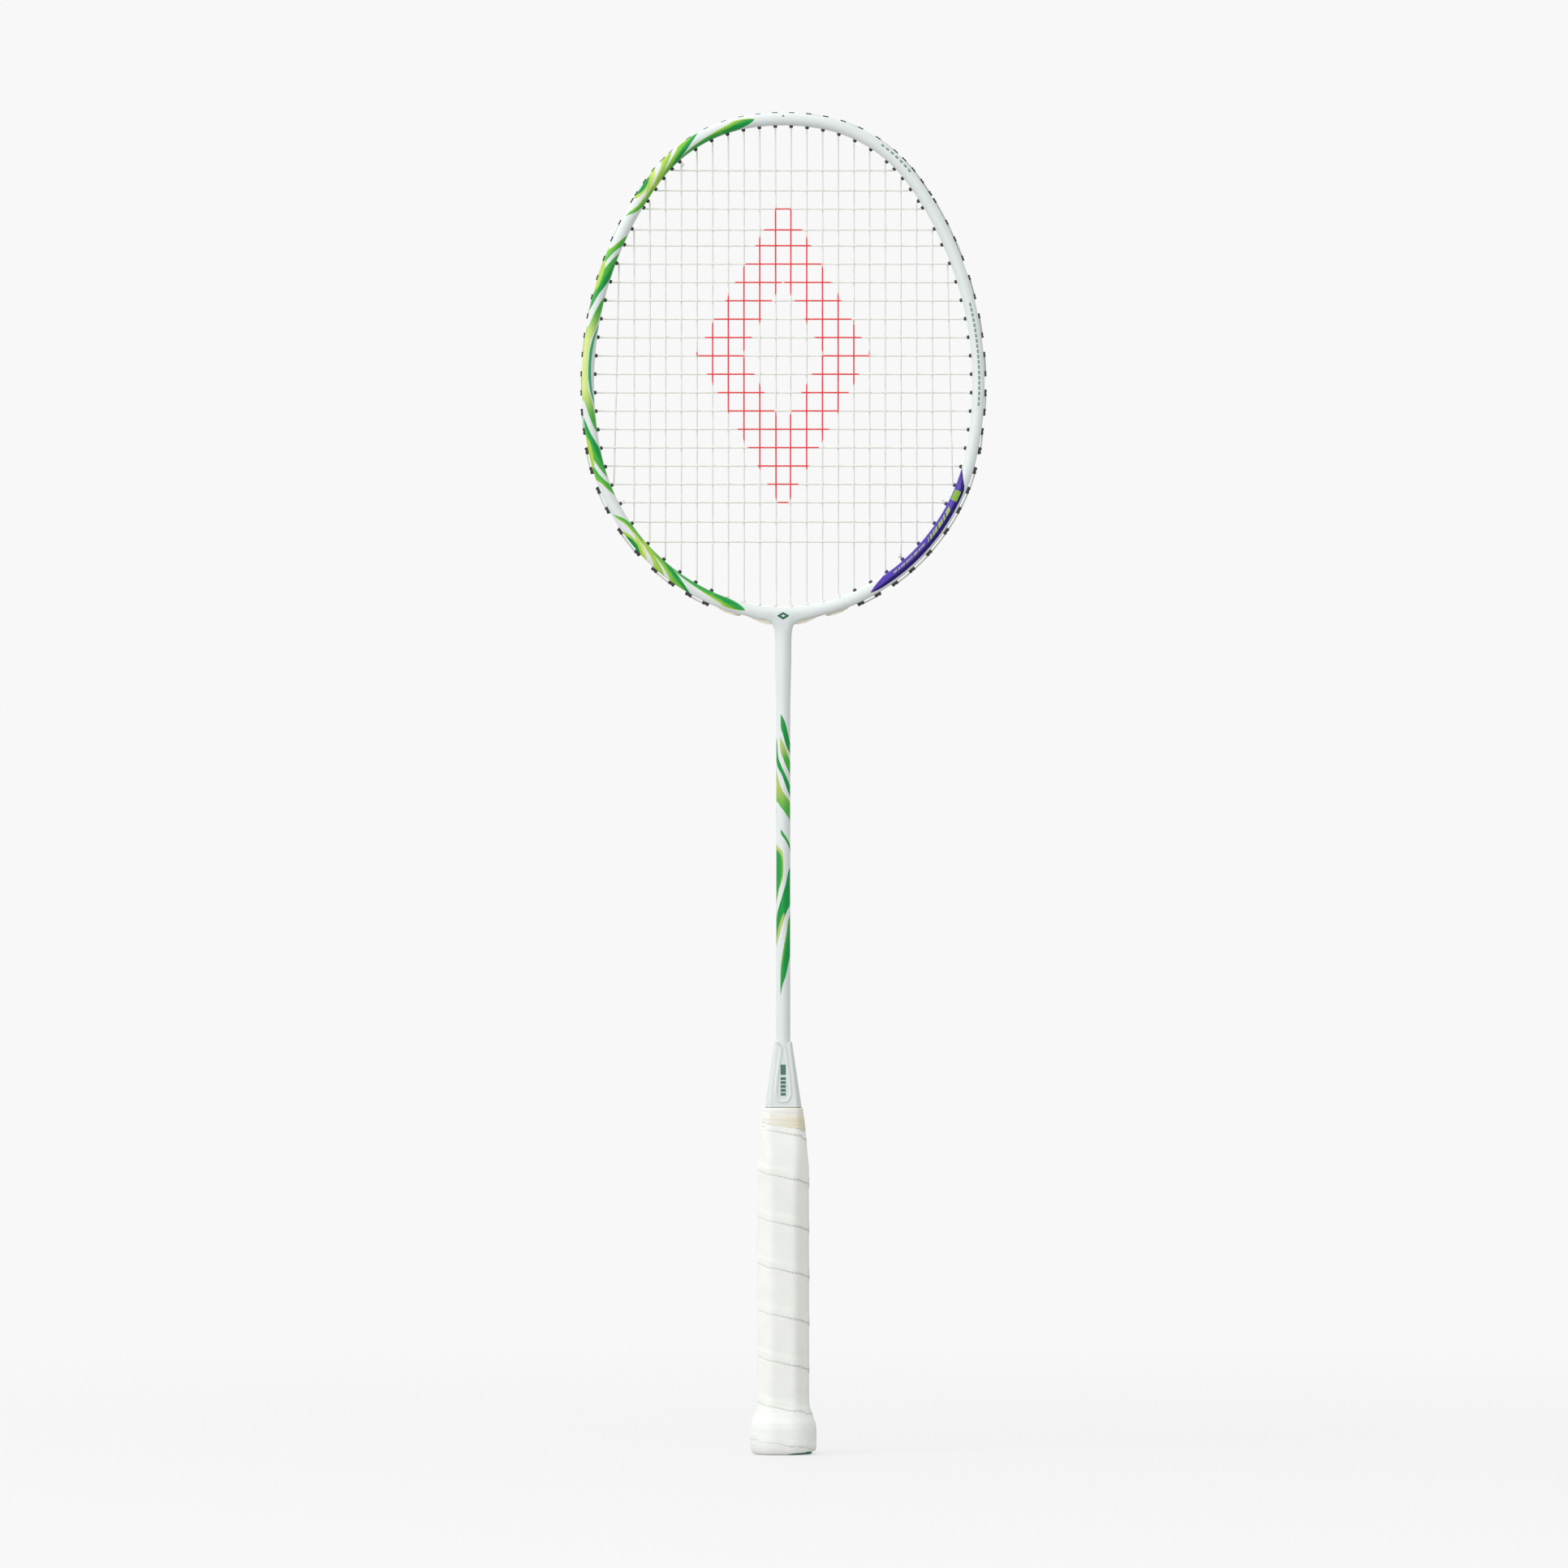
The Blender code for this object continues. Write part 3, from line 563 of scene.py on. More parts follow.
# Strokes on the left half of the ring from the shaft to the widest point: (length from the
# bottom, distance outwards from the inside face). The upper half mirrors them.
HEAD_LEAVES = (
    Leaf(((18.5, 3.7), (20.5, 2.2), (24, 0.9), (28, 0.1), (34, -0.6), (60, -0.9)),
         ((18.5, 3.8), (21, 4.5), (27, 4.9), (31, 4.0), (38, 2.8), (46, 1.8), (54, 1.2), (60, 0.4),
          (64, -0.9)),
         EMERALD, SPRING, turn=(0.45, 0.80), fade=(21.0, 30.0), rim=LIME),
    Leaf(((34, -0.9), (64, -0.95)),
         ((34, -0.8), (39, 2.0), (46, 1.7), (54, 1.2), (60, 0.4), (64, -0.9)),
         EMERALD, GREEN, turn=(0.4, 1.0)),
    Leaf(((59, -0.9), (88, -0.7), (91, 0.3), (94, 1.3), (97, 3.4), (99.4, 5.6)),
         ((59, -1.0), (62, -0.3), (70, 0.7), (76, 1.7), (84, 1.9), (90, 2.3), (93.5, 3.3),
          (96, 4.5), (99.4, 5.5)),
         GREEN, SPRING, turn=(0.3, 0.8), rim=LIME),
    Leaf(((71.5, 6.4), (74, 4.2), (77, 2.7), (81, 1.7), (87, 1.3)),
         ((71.5, 6.3), (75.5, 6.5), (78.5, 4.5), (82, 3.2), (87, 1.4)), PALE_LIME, LIME),
    Leaf(((60, 6.9), (62, 5.2), (64, 4.0), (68, 2.6), (73, 1.2), (78, 0.0), (84, -0.9)),
         ((60, 6.8), (65.5, 6.6), (68, 5.1), (72, 3.3), (77, 2.0), (84, -1.0)),
         SPRING, LIME, turn=(0.0, 0.6)),
    Leaf(((44.5, 6.8), (48, 4.9), (52, 3.0), (57, 1.2), (62, 0.0), (66, -0.8), (80, -1.0)),
         ((44.5, 6.7), (48, 6.9), (55.5, 6.6), (58, 5.4), (62, 3.7), (67, 2.3), (72, 1.5), (80, -0.9)),
         EMERALD, SPRING, turn=(0.30, 0.70), fade=(46.0, 52.0), rim=LIME),
    Leaf(((74, 6.6), (78, 3.9), (82, 3.3), (86, 3.8), (90.5, 6.6)),
         ((74, 6.5), (76, 8.0), (88, 8.0), (90.5, 6.5)), LIME, LIME),
    Leaf(((76, 6.4), (79, 4.7), (82, 4.2), (85, 4.7), (88, 6.4)),
         ((76, 6.3), (77, 8.0), (87, 8.0), (88, 6.3)), EMERALD, EMERALD),
    Leaf(((105.5, -0.8), (112, 0.0), (116, 2.0), (120, 3.8), (124, 5.2), (128, 6.9)),
         ((105.5, -0.9), (109, 1.2), (113, 3.2), (116.5, 5.0), (119, 6.8), (128, 6.8)),
         GREEN, SPRING, turn=(0.2, 0.9), fade=(110.0, 119.0), rim=LIME),
    Leaf(((115, -0.8), (125, -0.6), (131, 0.2), (135, 1.4), (140, 3.4), (146, 5.2), (151, 6.9)),
         ((115, -0.9), (119, 1.2), (124, 3.2), (128, 4.8), (132, 6.8), (140, 7.4), (151, 6.8)),
         EMERALD, GREEN, turn=(0.3, 0.55)),
    Leaf(((123, 6.0), (126, 4.4), (131, 4.2), (138, 5.4), (141, 7.0)),
         ((123, 5.9), (128, 7.4), (138, 7.4), (141, 6.9)), LIME, LIME),
    Leaf(((138, -0.8), (149, 0.2), (155, 1.0), (160, 2.2), (165, 3.2), (180, 3.6)),
         ((138, -0.7), (143, 1.4), (149, 3.2), (156, 5.0), (161, 7.4), (180, 7.4)),
         GREEN, PALE_LIME, turn=(-0.6, 0.2), fade=(146.0, 164.0)),
    Leaf(((152, -0.8), (158, 0.4), (166, 1.3), (180, 1.8)),
         ((152, -0.9), (158, 1.2), (164, 2.4), (170, 3.0), (180, 3.1)), TEAL, GREEN, turn=(0.5, 1.6)),
)
MIRROR_LENGTH = 174.6
HEAD_RANGES = ((0.0, 360.0), (-2.0, 9.0))

# Panel on the right shoulder, with two rows of slanted bars and a block
PANEL = Leaf(((43.5, 4.3), (46, 2.9), (49, 1.6), (53, 0.4), (57, -0.9), (117, -0.9), (122, 0.3)),
             ((43.5, 4.2), (46, 4.7), (50, 5.0), (110, 5.1), (113, 4.6), (116, 3.0), (119, 1.5),
              (122, 0.2)),
             PURPLE, NAVY, turn=(0.58, 0.72))
PANEL_BARS = ((60.5, 82.0, 1.7, 1.55, 2.45, (0.40, 0.42, 0.16)),
              (84.0, 104.0, 2.3, 1.35, 3.05, (0.36, 0.52, 0.05)))
PANEL_SLANT = 0.9
PANEL_BLOCK = ((105.2, 110.6), (0.6, 3.9), (0.21, 0.39, 0.035))
# Rows of small dashes: (start, stop, pitch, share, low edge, high edge)
SIDE_DASHES = ((153.0, 205.0, 2.6, 0.7, 2.9, 3.9), (275.0, 295.0, 2.9, 0.6, 4.0, 5.0))
NECK_MARK_Z = 0.4222
NECK_MARK_HALF = (0.0033, 0.0020)
CROWN_DOT_X = (0.0004, 0.0007)
CROWN_DOT_Z = (0.6734, 0.6744)


def head_paint():
    """White lacquer with green strokes on the left and a purple panel on the right."""
    finish = Finish("head_paint")
    along, across = finish.attribute("along"), finish.attribute("across")
    folded = MIRROR_LENGTH - abs(along - MIRROR_LENGTH)
    strokes = WHITE
    for leaf in HEAD_LEAVES:
        strokes = paint_leaf(strokes, leaf, folded, across, HEAD_RANGES, 0.16)
    panel = paint_leaf(WHITE, PANEL, along, across, HEAD_RANGES, 0.1)
    slanted = along + across * PANEL_SLANT
    for start, stop, pitch, low, high, tint in PANEL_BARS:
        bars = calc("MAXIMUM", dashes(slanted, start, stop, pitch, 0.55),
                    dashes(slanted, start, stop, pitch * 1.6, 0.35))
        panel = blend(bars * band(across, low, high) * 0.85, panel, tint)
    lengthwise, crosswise, tint = PANEL_BLOCK
    panel = blend(band(along, *lengthwise) * band(across, *crosswise), panel, tint)
    rows = [dashes(along, *row[:4]) * band(across, *row[4:]) for row in SIDE_DASHES]
    right = blend(calc("MAXIMUM", *rows) * 0.75, panel, DARK_GREEN)
    x, _, z = finish.axes()
    lozenge = abs(x) / NECK_MARK_HALF[0] + abs(z - NECK_MARK_Z) / NECK_MARK_HALF[1]
    neck_mark = lozenge.ramp(0.93, 1.0, 1.0, 0.0) * lozenge.ramp(0.30, 0.36)
    crown_dot = abs(x).ramp(*CROWN_DOT_X, 1.0, 0.0) * band(z, *CROWN_DOT_Z, 0.0002)
    left = finish.attribute("side").ramp(-0.01, 0.01, 1.0, 0.0)
    painted = blend(left, right, strokes)
    return finish.lacquer(
        blend(calc("MAXIMUM", neck_mark, crown_dot * 0.8), painted, DARK_GREEN), 0.12)


# Strokes round the shaft: (height in mm, degrees round from the front towards +X)
SHAFT_LEAVES = (
    Leaf(((350, 110), (353, 67), (356.5, 27), (362.7, -3), (366.8, -20), (373, -21)),
         ((350, 104), (355, 108), (358.6, 67), (362.7, 44), (369, 13), (373, -22)), EMERALD, EMERALD),
    Leaf(((340, 110), (343, 60), (346.3, 27), (350.4, 0), (355.7, -24), (361.5, -26)),
         ((340, 104), (345, 108), (349.2, 67), (351.6, 44), (356.5, 13), (361.5, -27)),
         GREEN, OLIVE, turn=(-0.5, -0.1), fade=(349.0, 357.0)),
    Leaf(((328, 100), (331.6, 67), (334, 39), (338.1, 13), (342.2, -13), (347, -60), (352, -90),
          (362, -98)),
         ((328, 98), (333, 104), (336.9, 67), (340.2, 35), (344.3, 3), (348.4, -27), (352.4, -48),
          (358.6, -60), (362, -97)), EMERALD, EMERALD),
    Leaf(((316, 100), (319.3, 67), (321.4, 35), (323.8, 7), (325.9, -20), (327.9, -44), (331, -90),
          (346, -99)),
         ((316, 98), (324, 104), (328.7, 67), (329.9, 44), (332.8, 7), (336.1, -20), (339.4, -39),
          (343, -60), (346, -98)), GREEN, OLIVE, turn=(-0.3, 0.2), fade=(323.0, 338.0)),
    Leaf(((300, 102), (304.2, 67), (307.5, 35), (310.3, 7), (313.2, -20), (315, -21)),
         ((300, 100), (303, 106), (306.2, 80), (308.3, 54), (310.7, 27), (313.2, 0), (315, -22)),
         EMERALD, GREEN),
    Leaf(((272, -86), (276, -92), (290, -98), (303, -94), (308, -84)),
         ((272, -88), (276, -80), (279.6, -57), (283.7, -38), (287.8, -16), (291.9, -1), (297.2, 2),
          (302.5, -4), (304.6, -22), (306.2, -54), (308, -86)), OLIVE, OLIVE),
    Leaf(((273, -90), (278, -100), (290, -106), (300, -100), (305, -88)),
         ((273, -92), (278, -72), (281, -56), (285, -36), (289, -16), (293, -5), (298, -6),
          (302, -22), (305, -90)), EMERALD, GREEN, turn=(0.6, 1.1)),
    Leaf(((254, -92), (262, -95), (271.5, -62), (274.7, -44), (278.8, -20), (282.9, 0), (287, 20),
          (293.1, 44), (297, 84), (301, 100)),
         ((254, -94), (257.2, -60), (260.4, -39), (264.5, -20), (267.4, -7), (270.7, 13),
          (274.7, 44), (277, 75), (282, 98), (290, 104), (301, 98)),
         EMERALD, EMERALD),
    Leaf(((254, -92), (260, -68), (266, -38), (270, -15), (273, 8)),
         ((254, -94), (257.2, -60), (260.4, -40), (264.5, -21), (267.4, -8), (270.7, 10), (273, 6)),
         OLIVE, OLIVE),
    Leaf(((230, -23), (238, -24), (244.1, -22), (250.2, -10), (256.4, 7), (262.5, 27), (268.6, 44),
          (272, 75), (277, 102)),
         ((230, -25), (235.9, -6), (240, 17), (244.1, 35), (248.2, 54), (252.3, 80), (258, 98),
          (266, 106), (277, 100)), SPRING, EMERALD, turn=(-0.2, 0.35)),
)
SHAFT_RANGES = ((200.0, 400.0), (-180.0, 180.0))


def shaft_paint():
    """White lacquer with green strokes that wind round; the back is the front turned half round."""
    finish = Finish("shaft_paint_strokes")
    x, y, z = finish.axes()
    height = z * 1000.0
    colour = WHITE
    for face in (-1.0, 1.0):
        turn = calc("DEGREES", calc("ARCTAN2", x * -face, y * face))
        for leaf in SHAFT_LEAVES:
            colour = paint_leaf(colour, leaf, height, turn, SHAFT_RANGES, 2.5)
    return finish.lacquer(colour, 0.14)


# ---------------------------------------------------------------- head ring and neck

# Half section of the tube, front side: (distance outwards, half depth). A groove runs outside.
TUBE_OUTLINE = ((0.0, 0.0), (0.0, 2.3), (1.2, 4.6), (3.4, 5.25), (5.5, 4.55), (6.35, 3.1),
                (5.35, 2.1), (5.3, 0.0))
NECK_WIDENING = 0.0009
NECK_HALF_LENGTH = 0.0092
NECK_FRONT_TURN = math.radians(52)
NECK_FOOT_Z = 0.4075
NECK_ROWS = 30
NECK_PULL = 0.0125
NECK_DROP = 0.0045
NECK_LEAN = 0.012
NECK_FOOT_DROP = 0.030
NECK_PAINT_ACROSS = 6.0
RELAX_ROUNDS = 12


def tube_section():
    """Closed section of the tube from inside, past the front, to outside and back."""
    front = [(u * MM, -y * MM) for u, y in TUBE_OUTLINE]
    back = [(u * MM, y * MM) for u, y in TUBE_OUTLINE[1:-1]]
    return corner_cut(front + back[::-1])


def neck_rim(alongs, outer, columns):
    """Edge of the opening under the ring, as (vertex, heading, turn round the shaft)."""
    under = [row for row, along in enumerate(alongs) if abs(along) <= NECK_HALF_LENGTH]
    across, along_steps = len(outer) - 1, len(under) - 1
    rim = []
    for begin, rows, ways, pull in ((0.0, under, outer, -NECK_PULL),
                                    (math.pi, under[::-1], outer[::-1], NECK_PULL)):
        for step, row in enumerate(rows):
            share = alongs[row] / NECK_HALF_LENGTH
            heading = Vector((-NECK_PULL * share * abs(share), 0,
                              -NECK_LEAN + (NECK_LEAN - NECK_DROP) * share ** 4))
            turn = begin + NECK_FRONT_TURN * (2 * step / along_steps - 1)
            rim.append((row * columns + ways[0], heading, turn))
        for step in range(1, across):
            turn = begin + NECK_FRONT_TURN + (math.pi - 2 * NECK_FRONT_TURN) * step / across
            rim.append((rows[-1] * columns + ways[step], Vector((pull, 0, -NECK_DROP)), turn))
    opened = {row * columns + column for row in under[:-1] for column in outer[:-1]}
    return rim, opened


def head_ring():
    """Swept ring with a smooth neck that flows into the shaft."""
    section = tube_section()
    columns = len(section)
    alongs = (np.arange(RING_STEPS) / RING_STEPS * 2 - 1) * half_round
    outer_share = smoothstep(0.0030, 0.0055, section[:, 0])
    vertices = []
    for along in alongs:
        foot, outward = on_outline(along)
        near_neck = 1 - smoothstep(0.007, 0.019, abs(along))
        widened = section[:, 0] + outer_share * NECK_WIDENING * near_neck
        vertices += [foot + outward * u + CROSSWAYS * y for u, y in zip(widened, section[:, 1])]
    outer = list(range(int(np.argmin(section[:, 1])), int(np.argmax(section[:, 1])) + 1))
    rim, opened = neck_rim(alongs, outer, columns)
    faces = [face for number, face in enumerate(grid_faces(RING_STEPS, columns, True))
             if number not in opened]
    ring_count = len(vertices)

    def on_shaft(turn, z):
        return Vector((shaft_high.x * math.sin(turn), -shaft_high.x * math.cos(turn), z))

    rows = []
    for t in (np.arange(NECK_ROWS) + 1) / NECK_ROWS:
        rows.append([vertices[number] * (2 * t ** 3 - 3 * t ** 2 + 1)
                     + heading * (t ** 3 - 2 * t ** 2 + t)
                     + on_shaft(turn, NECK_FOOT_Z) * (3 * t ** 2 - 2 * t ** 3)
                     + Vector((0, 0, -NECK_FOOT_DROP)) * (t ** 3 - t ** 2)
                     for number, heading, turn in rim])
    rows.append([on_shaft(turn, shaft_high.z) for _, _, turn in rim])
    previous = [number for number, _, _ in rim]
    for row in rows:
        ring = list(range(len(vertices), len(vertices) + len(row)))
        vertices += row
        faces += between(previous, ring)
        previous = ring
    faces.append(previous)
    head = new_mesh("painted_head", vertices, faces, sharp_angle=50)
    neck_count = len(vertices) - ring_count
    for name, on_ring, on_neck in (("along", np.repeat(np.abs(alongs), columns) / MM, 0.0),
                                   ("side", np.repeat(np.sign(alongs), columns), 1.0),
                                   ("across", np.tile(section[:, 0], RING_STEPS) / MM,
                                    NECK_PAINT_ACROSS)):
        store(head, name, np.concatenate([on_ring, np.full(neck_count, on_neck)]))
    relax(head, ring_count)
    dress(head, "head_frame", head_paint())


def relax(piece, first):
    """Smooth the vertices from a number on, with the rest and the neck's foot held still."""
    places = np.zeros(len(piece.data.vertices) * 3)
    piece.data.vertices.foreach_get("co", places)
    places = places.reshape(-1, 3)
    edges = np.zeros(len(piece.data.edges) * 2, int)
    piece.data.edges.foreach_get("vertices", edges)
    edges = edges.reshape(-1, 2)
    degree = np.bincount(edges.ravel(), minlength=len(places))[:, None]
    held = places[:, 2] < NECK_FOOT_Z + MM
    held[:first] = True
    for _ in range(RELAX_ROUNDS):
        total = np.zeros_like(places)
        np.add.at(total, edges[:, 0], places[edges[:, 1]])
        np.add.at(total, edges[:, 1], places[edges[:, 0]])
        moved = places * 0.5 + total / np.maximum(degree, 1) * 0.5
        places = np.where(held[:, None], places, moved)
    piece.data.vertices.foreach_set("co", places.ravel())
    piece.data.update()


SHAFT_RADIUS = 0.00355
SHAFT_BORE = 0.0027
SHAFT_FLARE_Z = 0.373


def shaft_tube():
    """Round shaft with a slight flare at its top; its foot is inside the cone."""
    low, high = shaft_low.z, shaft_high.z
    levels = [low, *np.linspace(low + 0.002, SHAFT_FLARE_Z, 60),
              *np.linspace(SHAFT_FLARE_Z + 0.003, high, 16)]
    flare = shaft_high.x - SHAFT_RADIUS
    profile = [(SHAFT_RADIUS + flare * smoothstep(SHAFT_FLARE_Z, high, z), z) for z in levels]
    profile = [(SHAFT_BORE, low), *profile, (SHAFT_BORE, high)]
    rings = [[(r * math.cos(a), r * math.sin(a), z) for a in circle(72)] for r, z in profile]
    piece = loft("painted_shaft", rings, closed=True, sharp_angle=40)
    dress(piece, "shaft", shaft_paint())


# ---------------------------------------------------------------- grommets

# Flange sections, in mm
PAD_HALF_WIDTH = 2.05
CHANNEL_HALF_WIDTH = 1.15
PAD_BOTTOM = 4.7
PAD_FOOT = 6.2
FLANGE_FLOOR = 6.35
JOINT_DROP = 1.25
SINGLE_HALF_LENGTH = 0.0017
PAIR_HALF_LENGTH = 0.0013
# Height of a flange's pad along its half length, as shares
PAD_SHAPE = ((-1.0, 0.30), (-0.93, 0.75), (-0.78, 1.0), (-0.50, 1.0), (-0.26, 0.9), (0.0, 0.8),
             (0.26, 0.9), (0.50, 1.0), (0.78, 1.0), (0.93, 0.75), (1.0, 0.30))
BARREL_RADIUS = 0.00098
BARREL_BORE = 0.00055
TWO_STRING_STRETCH = 1.55
# Height of the clear strip's rim along it, both in mm
STRIP_SWELL = ((4.2, 8.8), (6, 9.0), (9, 8.8), (12, 8.1), (14.5, 7.1), (17, 6.4), (20, 6.3),
               (22.5, 6.95), (25, 7.5), (28, 7.25), (31, 6.5), (33, 5.9))
BLACK = (0.022, 0.021, 0.018)


def flange(alongs, floors, tops, bottom=PAD_BOTTOM):
    """Flange with a channel for the string, which follows the ring's groove."""
    rings = []
    wide, thin = PAD_HALF_WIDTH, CHANNEL_HALF_WIDTH
    for along, floor, top in zip(alongs, floors, tops):
        foot, outward = on_outline(along)
        rim = min(0.25, max(top - floor, 0.05) * 0.4)
        half = [(bottom, wide), (top - rim, wide), (top, wide - 0.25), (top, thin + 0.2),
                (top - rim, thin), (floor, thin - 0.1)]
        section = [(u, -y) for u, y in half] + half[::-1]
        rings.append([foot + outward * u * MM + CROSSWAYS * y * MM for u, y in section])
    return loft("flange", rings, sharp_angle=35)


def barrel(hole):
    """Barrel through the tube with a rounded tip inside the ring and a bore for the string."""
    outside, bore = BARREL_RADIUS, BARREL_BORE
    tall = TWO_STRING_STRETCH if hole.two_strings else 1.0
    profile = ((0.0045, bore), (0.0045, outside), (0.0, outside), (-0.0007, outside * 0.98),
               (-0.0011, outside * 0.86), (BARREL_TIP, outside * 0.72), (-0.00105, bore * 1.05),
               (0.0, bore))
    rings = [[hole.point(depth, radius * tall * math.sin(a)) + hole.sideways() * radius * math.cos(a)
              for a in circle(20)] for depth, radius in profile]
    return loft("barrel", rings, closed=True, sharp_angle=50)


def grommet(name, group):
    """Grommet for one hole or for a group joined by a flange."""
    parts = [barrel(hole) for hole in group]
    half_length = SINGLE_HALF_LENGTH if len(group) == 1 else PAIR_HALF_LENGTH
    for hole in group:
        tops = [PAD_FOOT + (hole.rim_top() - PAD_FOOT) * height for _, height in PAD_SHAPE]
        parts.append(flange([hole.along + share * half_length for share, _ in PAD_SHAPE],
                            [min(FLANGE_FLOOR, top - 0.1) for top in tops], tops))
    for first, second in zip(group, group[1:]):
        start, stop = sorted((first.along, second.along))
        if first.side != second.side:
            start, stop = first.along, second.along + 2 * half_round
        alongs = np.linspace(start, stop, 12)
        joined = min(hole.rim_top() for hole in group) - JOINT_DROP
        parts.append(flange(np.where(alongs > half_round, alongs - 2 * half_round, alongs),
                            [min(FLANGE_FLOOR, joined) - 0.1] * 12, [joined] * 12))
    piece = merge(name, parts, sharp_angle=40)
    store(piece, "tip", [any((v.co - hole.foot).dot(hole.outward) < 0.003 for hole in group)
                         for v in piece.data.vertices])
    return piece


def clear_strip(side, word):
    """Translucent strip for the four holes beside the shaft, swollen under its two loops."""
    parts = [barrel(holes[side, index]) for index in range(1, CLEAR_LAST + 1)]
    along = np.linspace(STRIP_SWELL[0][0], STRIP_SWELL[-1][0], 60)
    ripple = 0.10 * np.sin(along * 1.9) + 0.06 * np.sin(along * 4.3 + 1.0)
    tops = np.interp(along, *np.transpose(STRIP_SWELL)) + ripple
    parts.append(flange(side * along * MM, tops - 0.25, tops, bottom=4.9))
    return merge(f"clear_strip_{word}", parts, sharp_angle=40)


def nylon(name, colour, tip_colour=None, brightest=1.25, **others):
    """Moulded nylon: slightly uneven colour, fine scuffs and a soft sheen."""
    finish = Finish(name)
    if tip_colour is not None:
        colour = blend(finish.attribute("tip"), colour, tip_colour)
    return finish.surface(shaded(colour, finish.uneven(500.0, 0.85, brightest, 4.0, start=0.35)),
                          finish.uneven(1500.0, 0.3, 0.5),
                          bump(finish.noise(2500.0), 0.00003, 0.5), **others)


def all_grommets():
    black = nylon("black_nylon_grommets", BLACK)
    painted = nylon("black_nylon_painted_tips", BLACK, tip_colour=(0.055, 0.032, 0.14))
    clear = nylon("clear_nylon_strips", (0.95, 0.90, 0.76), brightest=1.0, Subsurface_Weight=0.5,
                  Subsurface_Radius=(1.0, 0.9, 0.6), Subsurface_Scale=0.002)
    for side, word in ((1, "right"), (-1, "left")):
        dress(clear_strip(side, word), f"clear_grommet_strip_{word}", clear)
        singles = list(range(CLEAR_LAST + 1, LAST_SINGLE[side] + 1))
        firsts = list(range(LAST_SINGLE[side] + 1, HOLES_PER_SIDE, 2))
        if side < 0:
            singles.append(31)
            firsts = [first for first in firsts if first < 31] + [32, 34, 36]
        for index in singles:
            piece = grommet(f"single_grommet_{word}_{index:02d}", [holes[side, index]])
            finish = painted if side > 0 and 6 <= index <= 12 else black
            dress(piece, f"grommet_{word}_{index:02d}", finish)
        for first in firsts:
            ends = f"{word}_{first:02d}_{first + 1:02d}"
            piece = grommet(f"joined_grommets_{ends}", [holes[side, first], holes[side, first + 1]])
            dress(piece, f"grommet_pair_{ends}", black)
    piece = grommet("joined_grommets_top", [holes[side, HOLES_PER_SIDE] for side in (1, -1)])
    dress(piece, "grommet_pair_top_centre", black)


# ---------------------------------------------------------------- strings

BOTTOM_HOLE_OF, TOP_HOLE_OF, CROSS_HOLE_OF = (
    {line: index for index, line in carried.items()} for carried in (BOTTOM_MAINS, TOP_MAINS, CROSS_HOLES))
# Mains from left to right, as (side, column)
MAINS_ACROSS = [(-1, column) for column in range(MAINS_PER_SIDE, 0, -1)]
MAINS_ACROSS += [(1, column) for column in range(1, MAINS_PER_SIDE + 1)]
KNOT_TURNS = 2.5
KNOT_STEPS = 32
KNOT_LENGTH = 0.0013


def crossing_x(side, column, row):
    """How far across a main is at a cross's height."""
    low = holes[side, BOTTOM_HOLE_OF[column]].inner_turn(0)
    high = holes[side, TOP_HOLE_OF[column]].inner_turn(0)
    return low.lerp(high, (cross_z(row) - low.z) / (high.z - low.z)).x


def over(number, row):
    """+1 where the cross string passes behind the main, -1 where it passes in front."""
    return 1 if (number + row) % 2 else -1


def cross_ends(row):
    return [holes[side, CROSS_HOLE_OF[row]].inner_turn(-1) for side in (-1, 1)]


def is_crossed(side, column, row):
    left, right = cross_ends(row)
    return left.x + MM < crossing_x(side, column, row) < right.x - MM


def weave(points, start, end, steps=5):
    """Path from start through crossings to the end, waved between them like a cosine."""
    path = [start]
    stations = [start] + points + [end]
    for before, after in zip(stations, stations[1:]):
        for step in range(1, steps + 1):
            flat = before.lerp(after, step / steps)
            eased = (1 - math.cos(math.pi * step / steps)) / 2
            path.append(Vector((flat.x, before.y + (after.y - before.y) * eased, flat.z)))
    return path


def outside_run(side, start, stop, side_of_strings):
    """String outside the ring from one hole to another, past any hole in between."""
    path = [holes[side, start].outer_turn(side_of_strings)]
    step = 1 if stop > start else -1
    aside = side_of_strings * BYPASS_OFFSET
    for index in range(start, stop, step):
        here, there = holes[side, index], holes[side, index + step]
        middle, outward = on_outline((here.along + there.along) / 2)
        depth = (here.string_depth() + there.string_depth()) / 2 - 0.00005
        path.append(middle + outward * depth + CROSSWAYS * aside * (abs(stop - start) > 1))
        if index + step != stop:
            path.append(there.point(there.string_depth(), aside))
    return path + [holes[side, stop].outer_turn(side_of_strings)]


def knotted_end(hole, side_of_strings):
    """String's end: a small knot pulled up against the barrel inside the ring, then the hole."""
    axis = -hole.outward
    centre = hole.point(STRING_TURN, side_of_strings * TWO_STRING_OFFSET * 1.6)
    path = []
    for step in range(KNOT_STEPS + 1):
        t = step / KNOT_STEPS
        angle = 2 * math.pi * KNOT_TURNS * t
        reach = 0.00055 * math.sin(math.pi * min(1.0, 0.3 + t * 0.7)) + 0.00012
        path.append(centre + axis * KNOT_LENGTH * (1 - t) + hole.sideways() * reach * math.cos(angle)
                    + CROSSWAYS * reach * math.sin(angle))
    tail = path[0] + axis * 0.0004 + CROSSWAYS * side_of_strings * 0.0006
    return [tail, *path, hole.inner_turn(side_of_strings)]


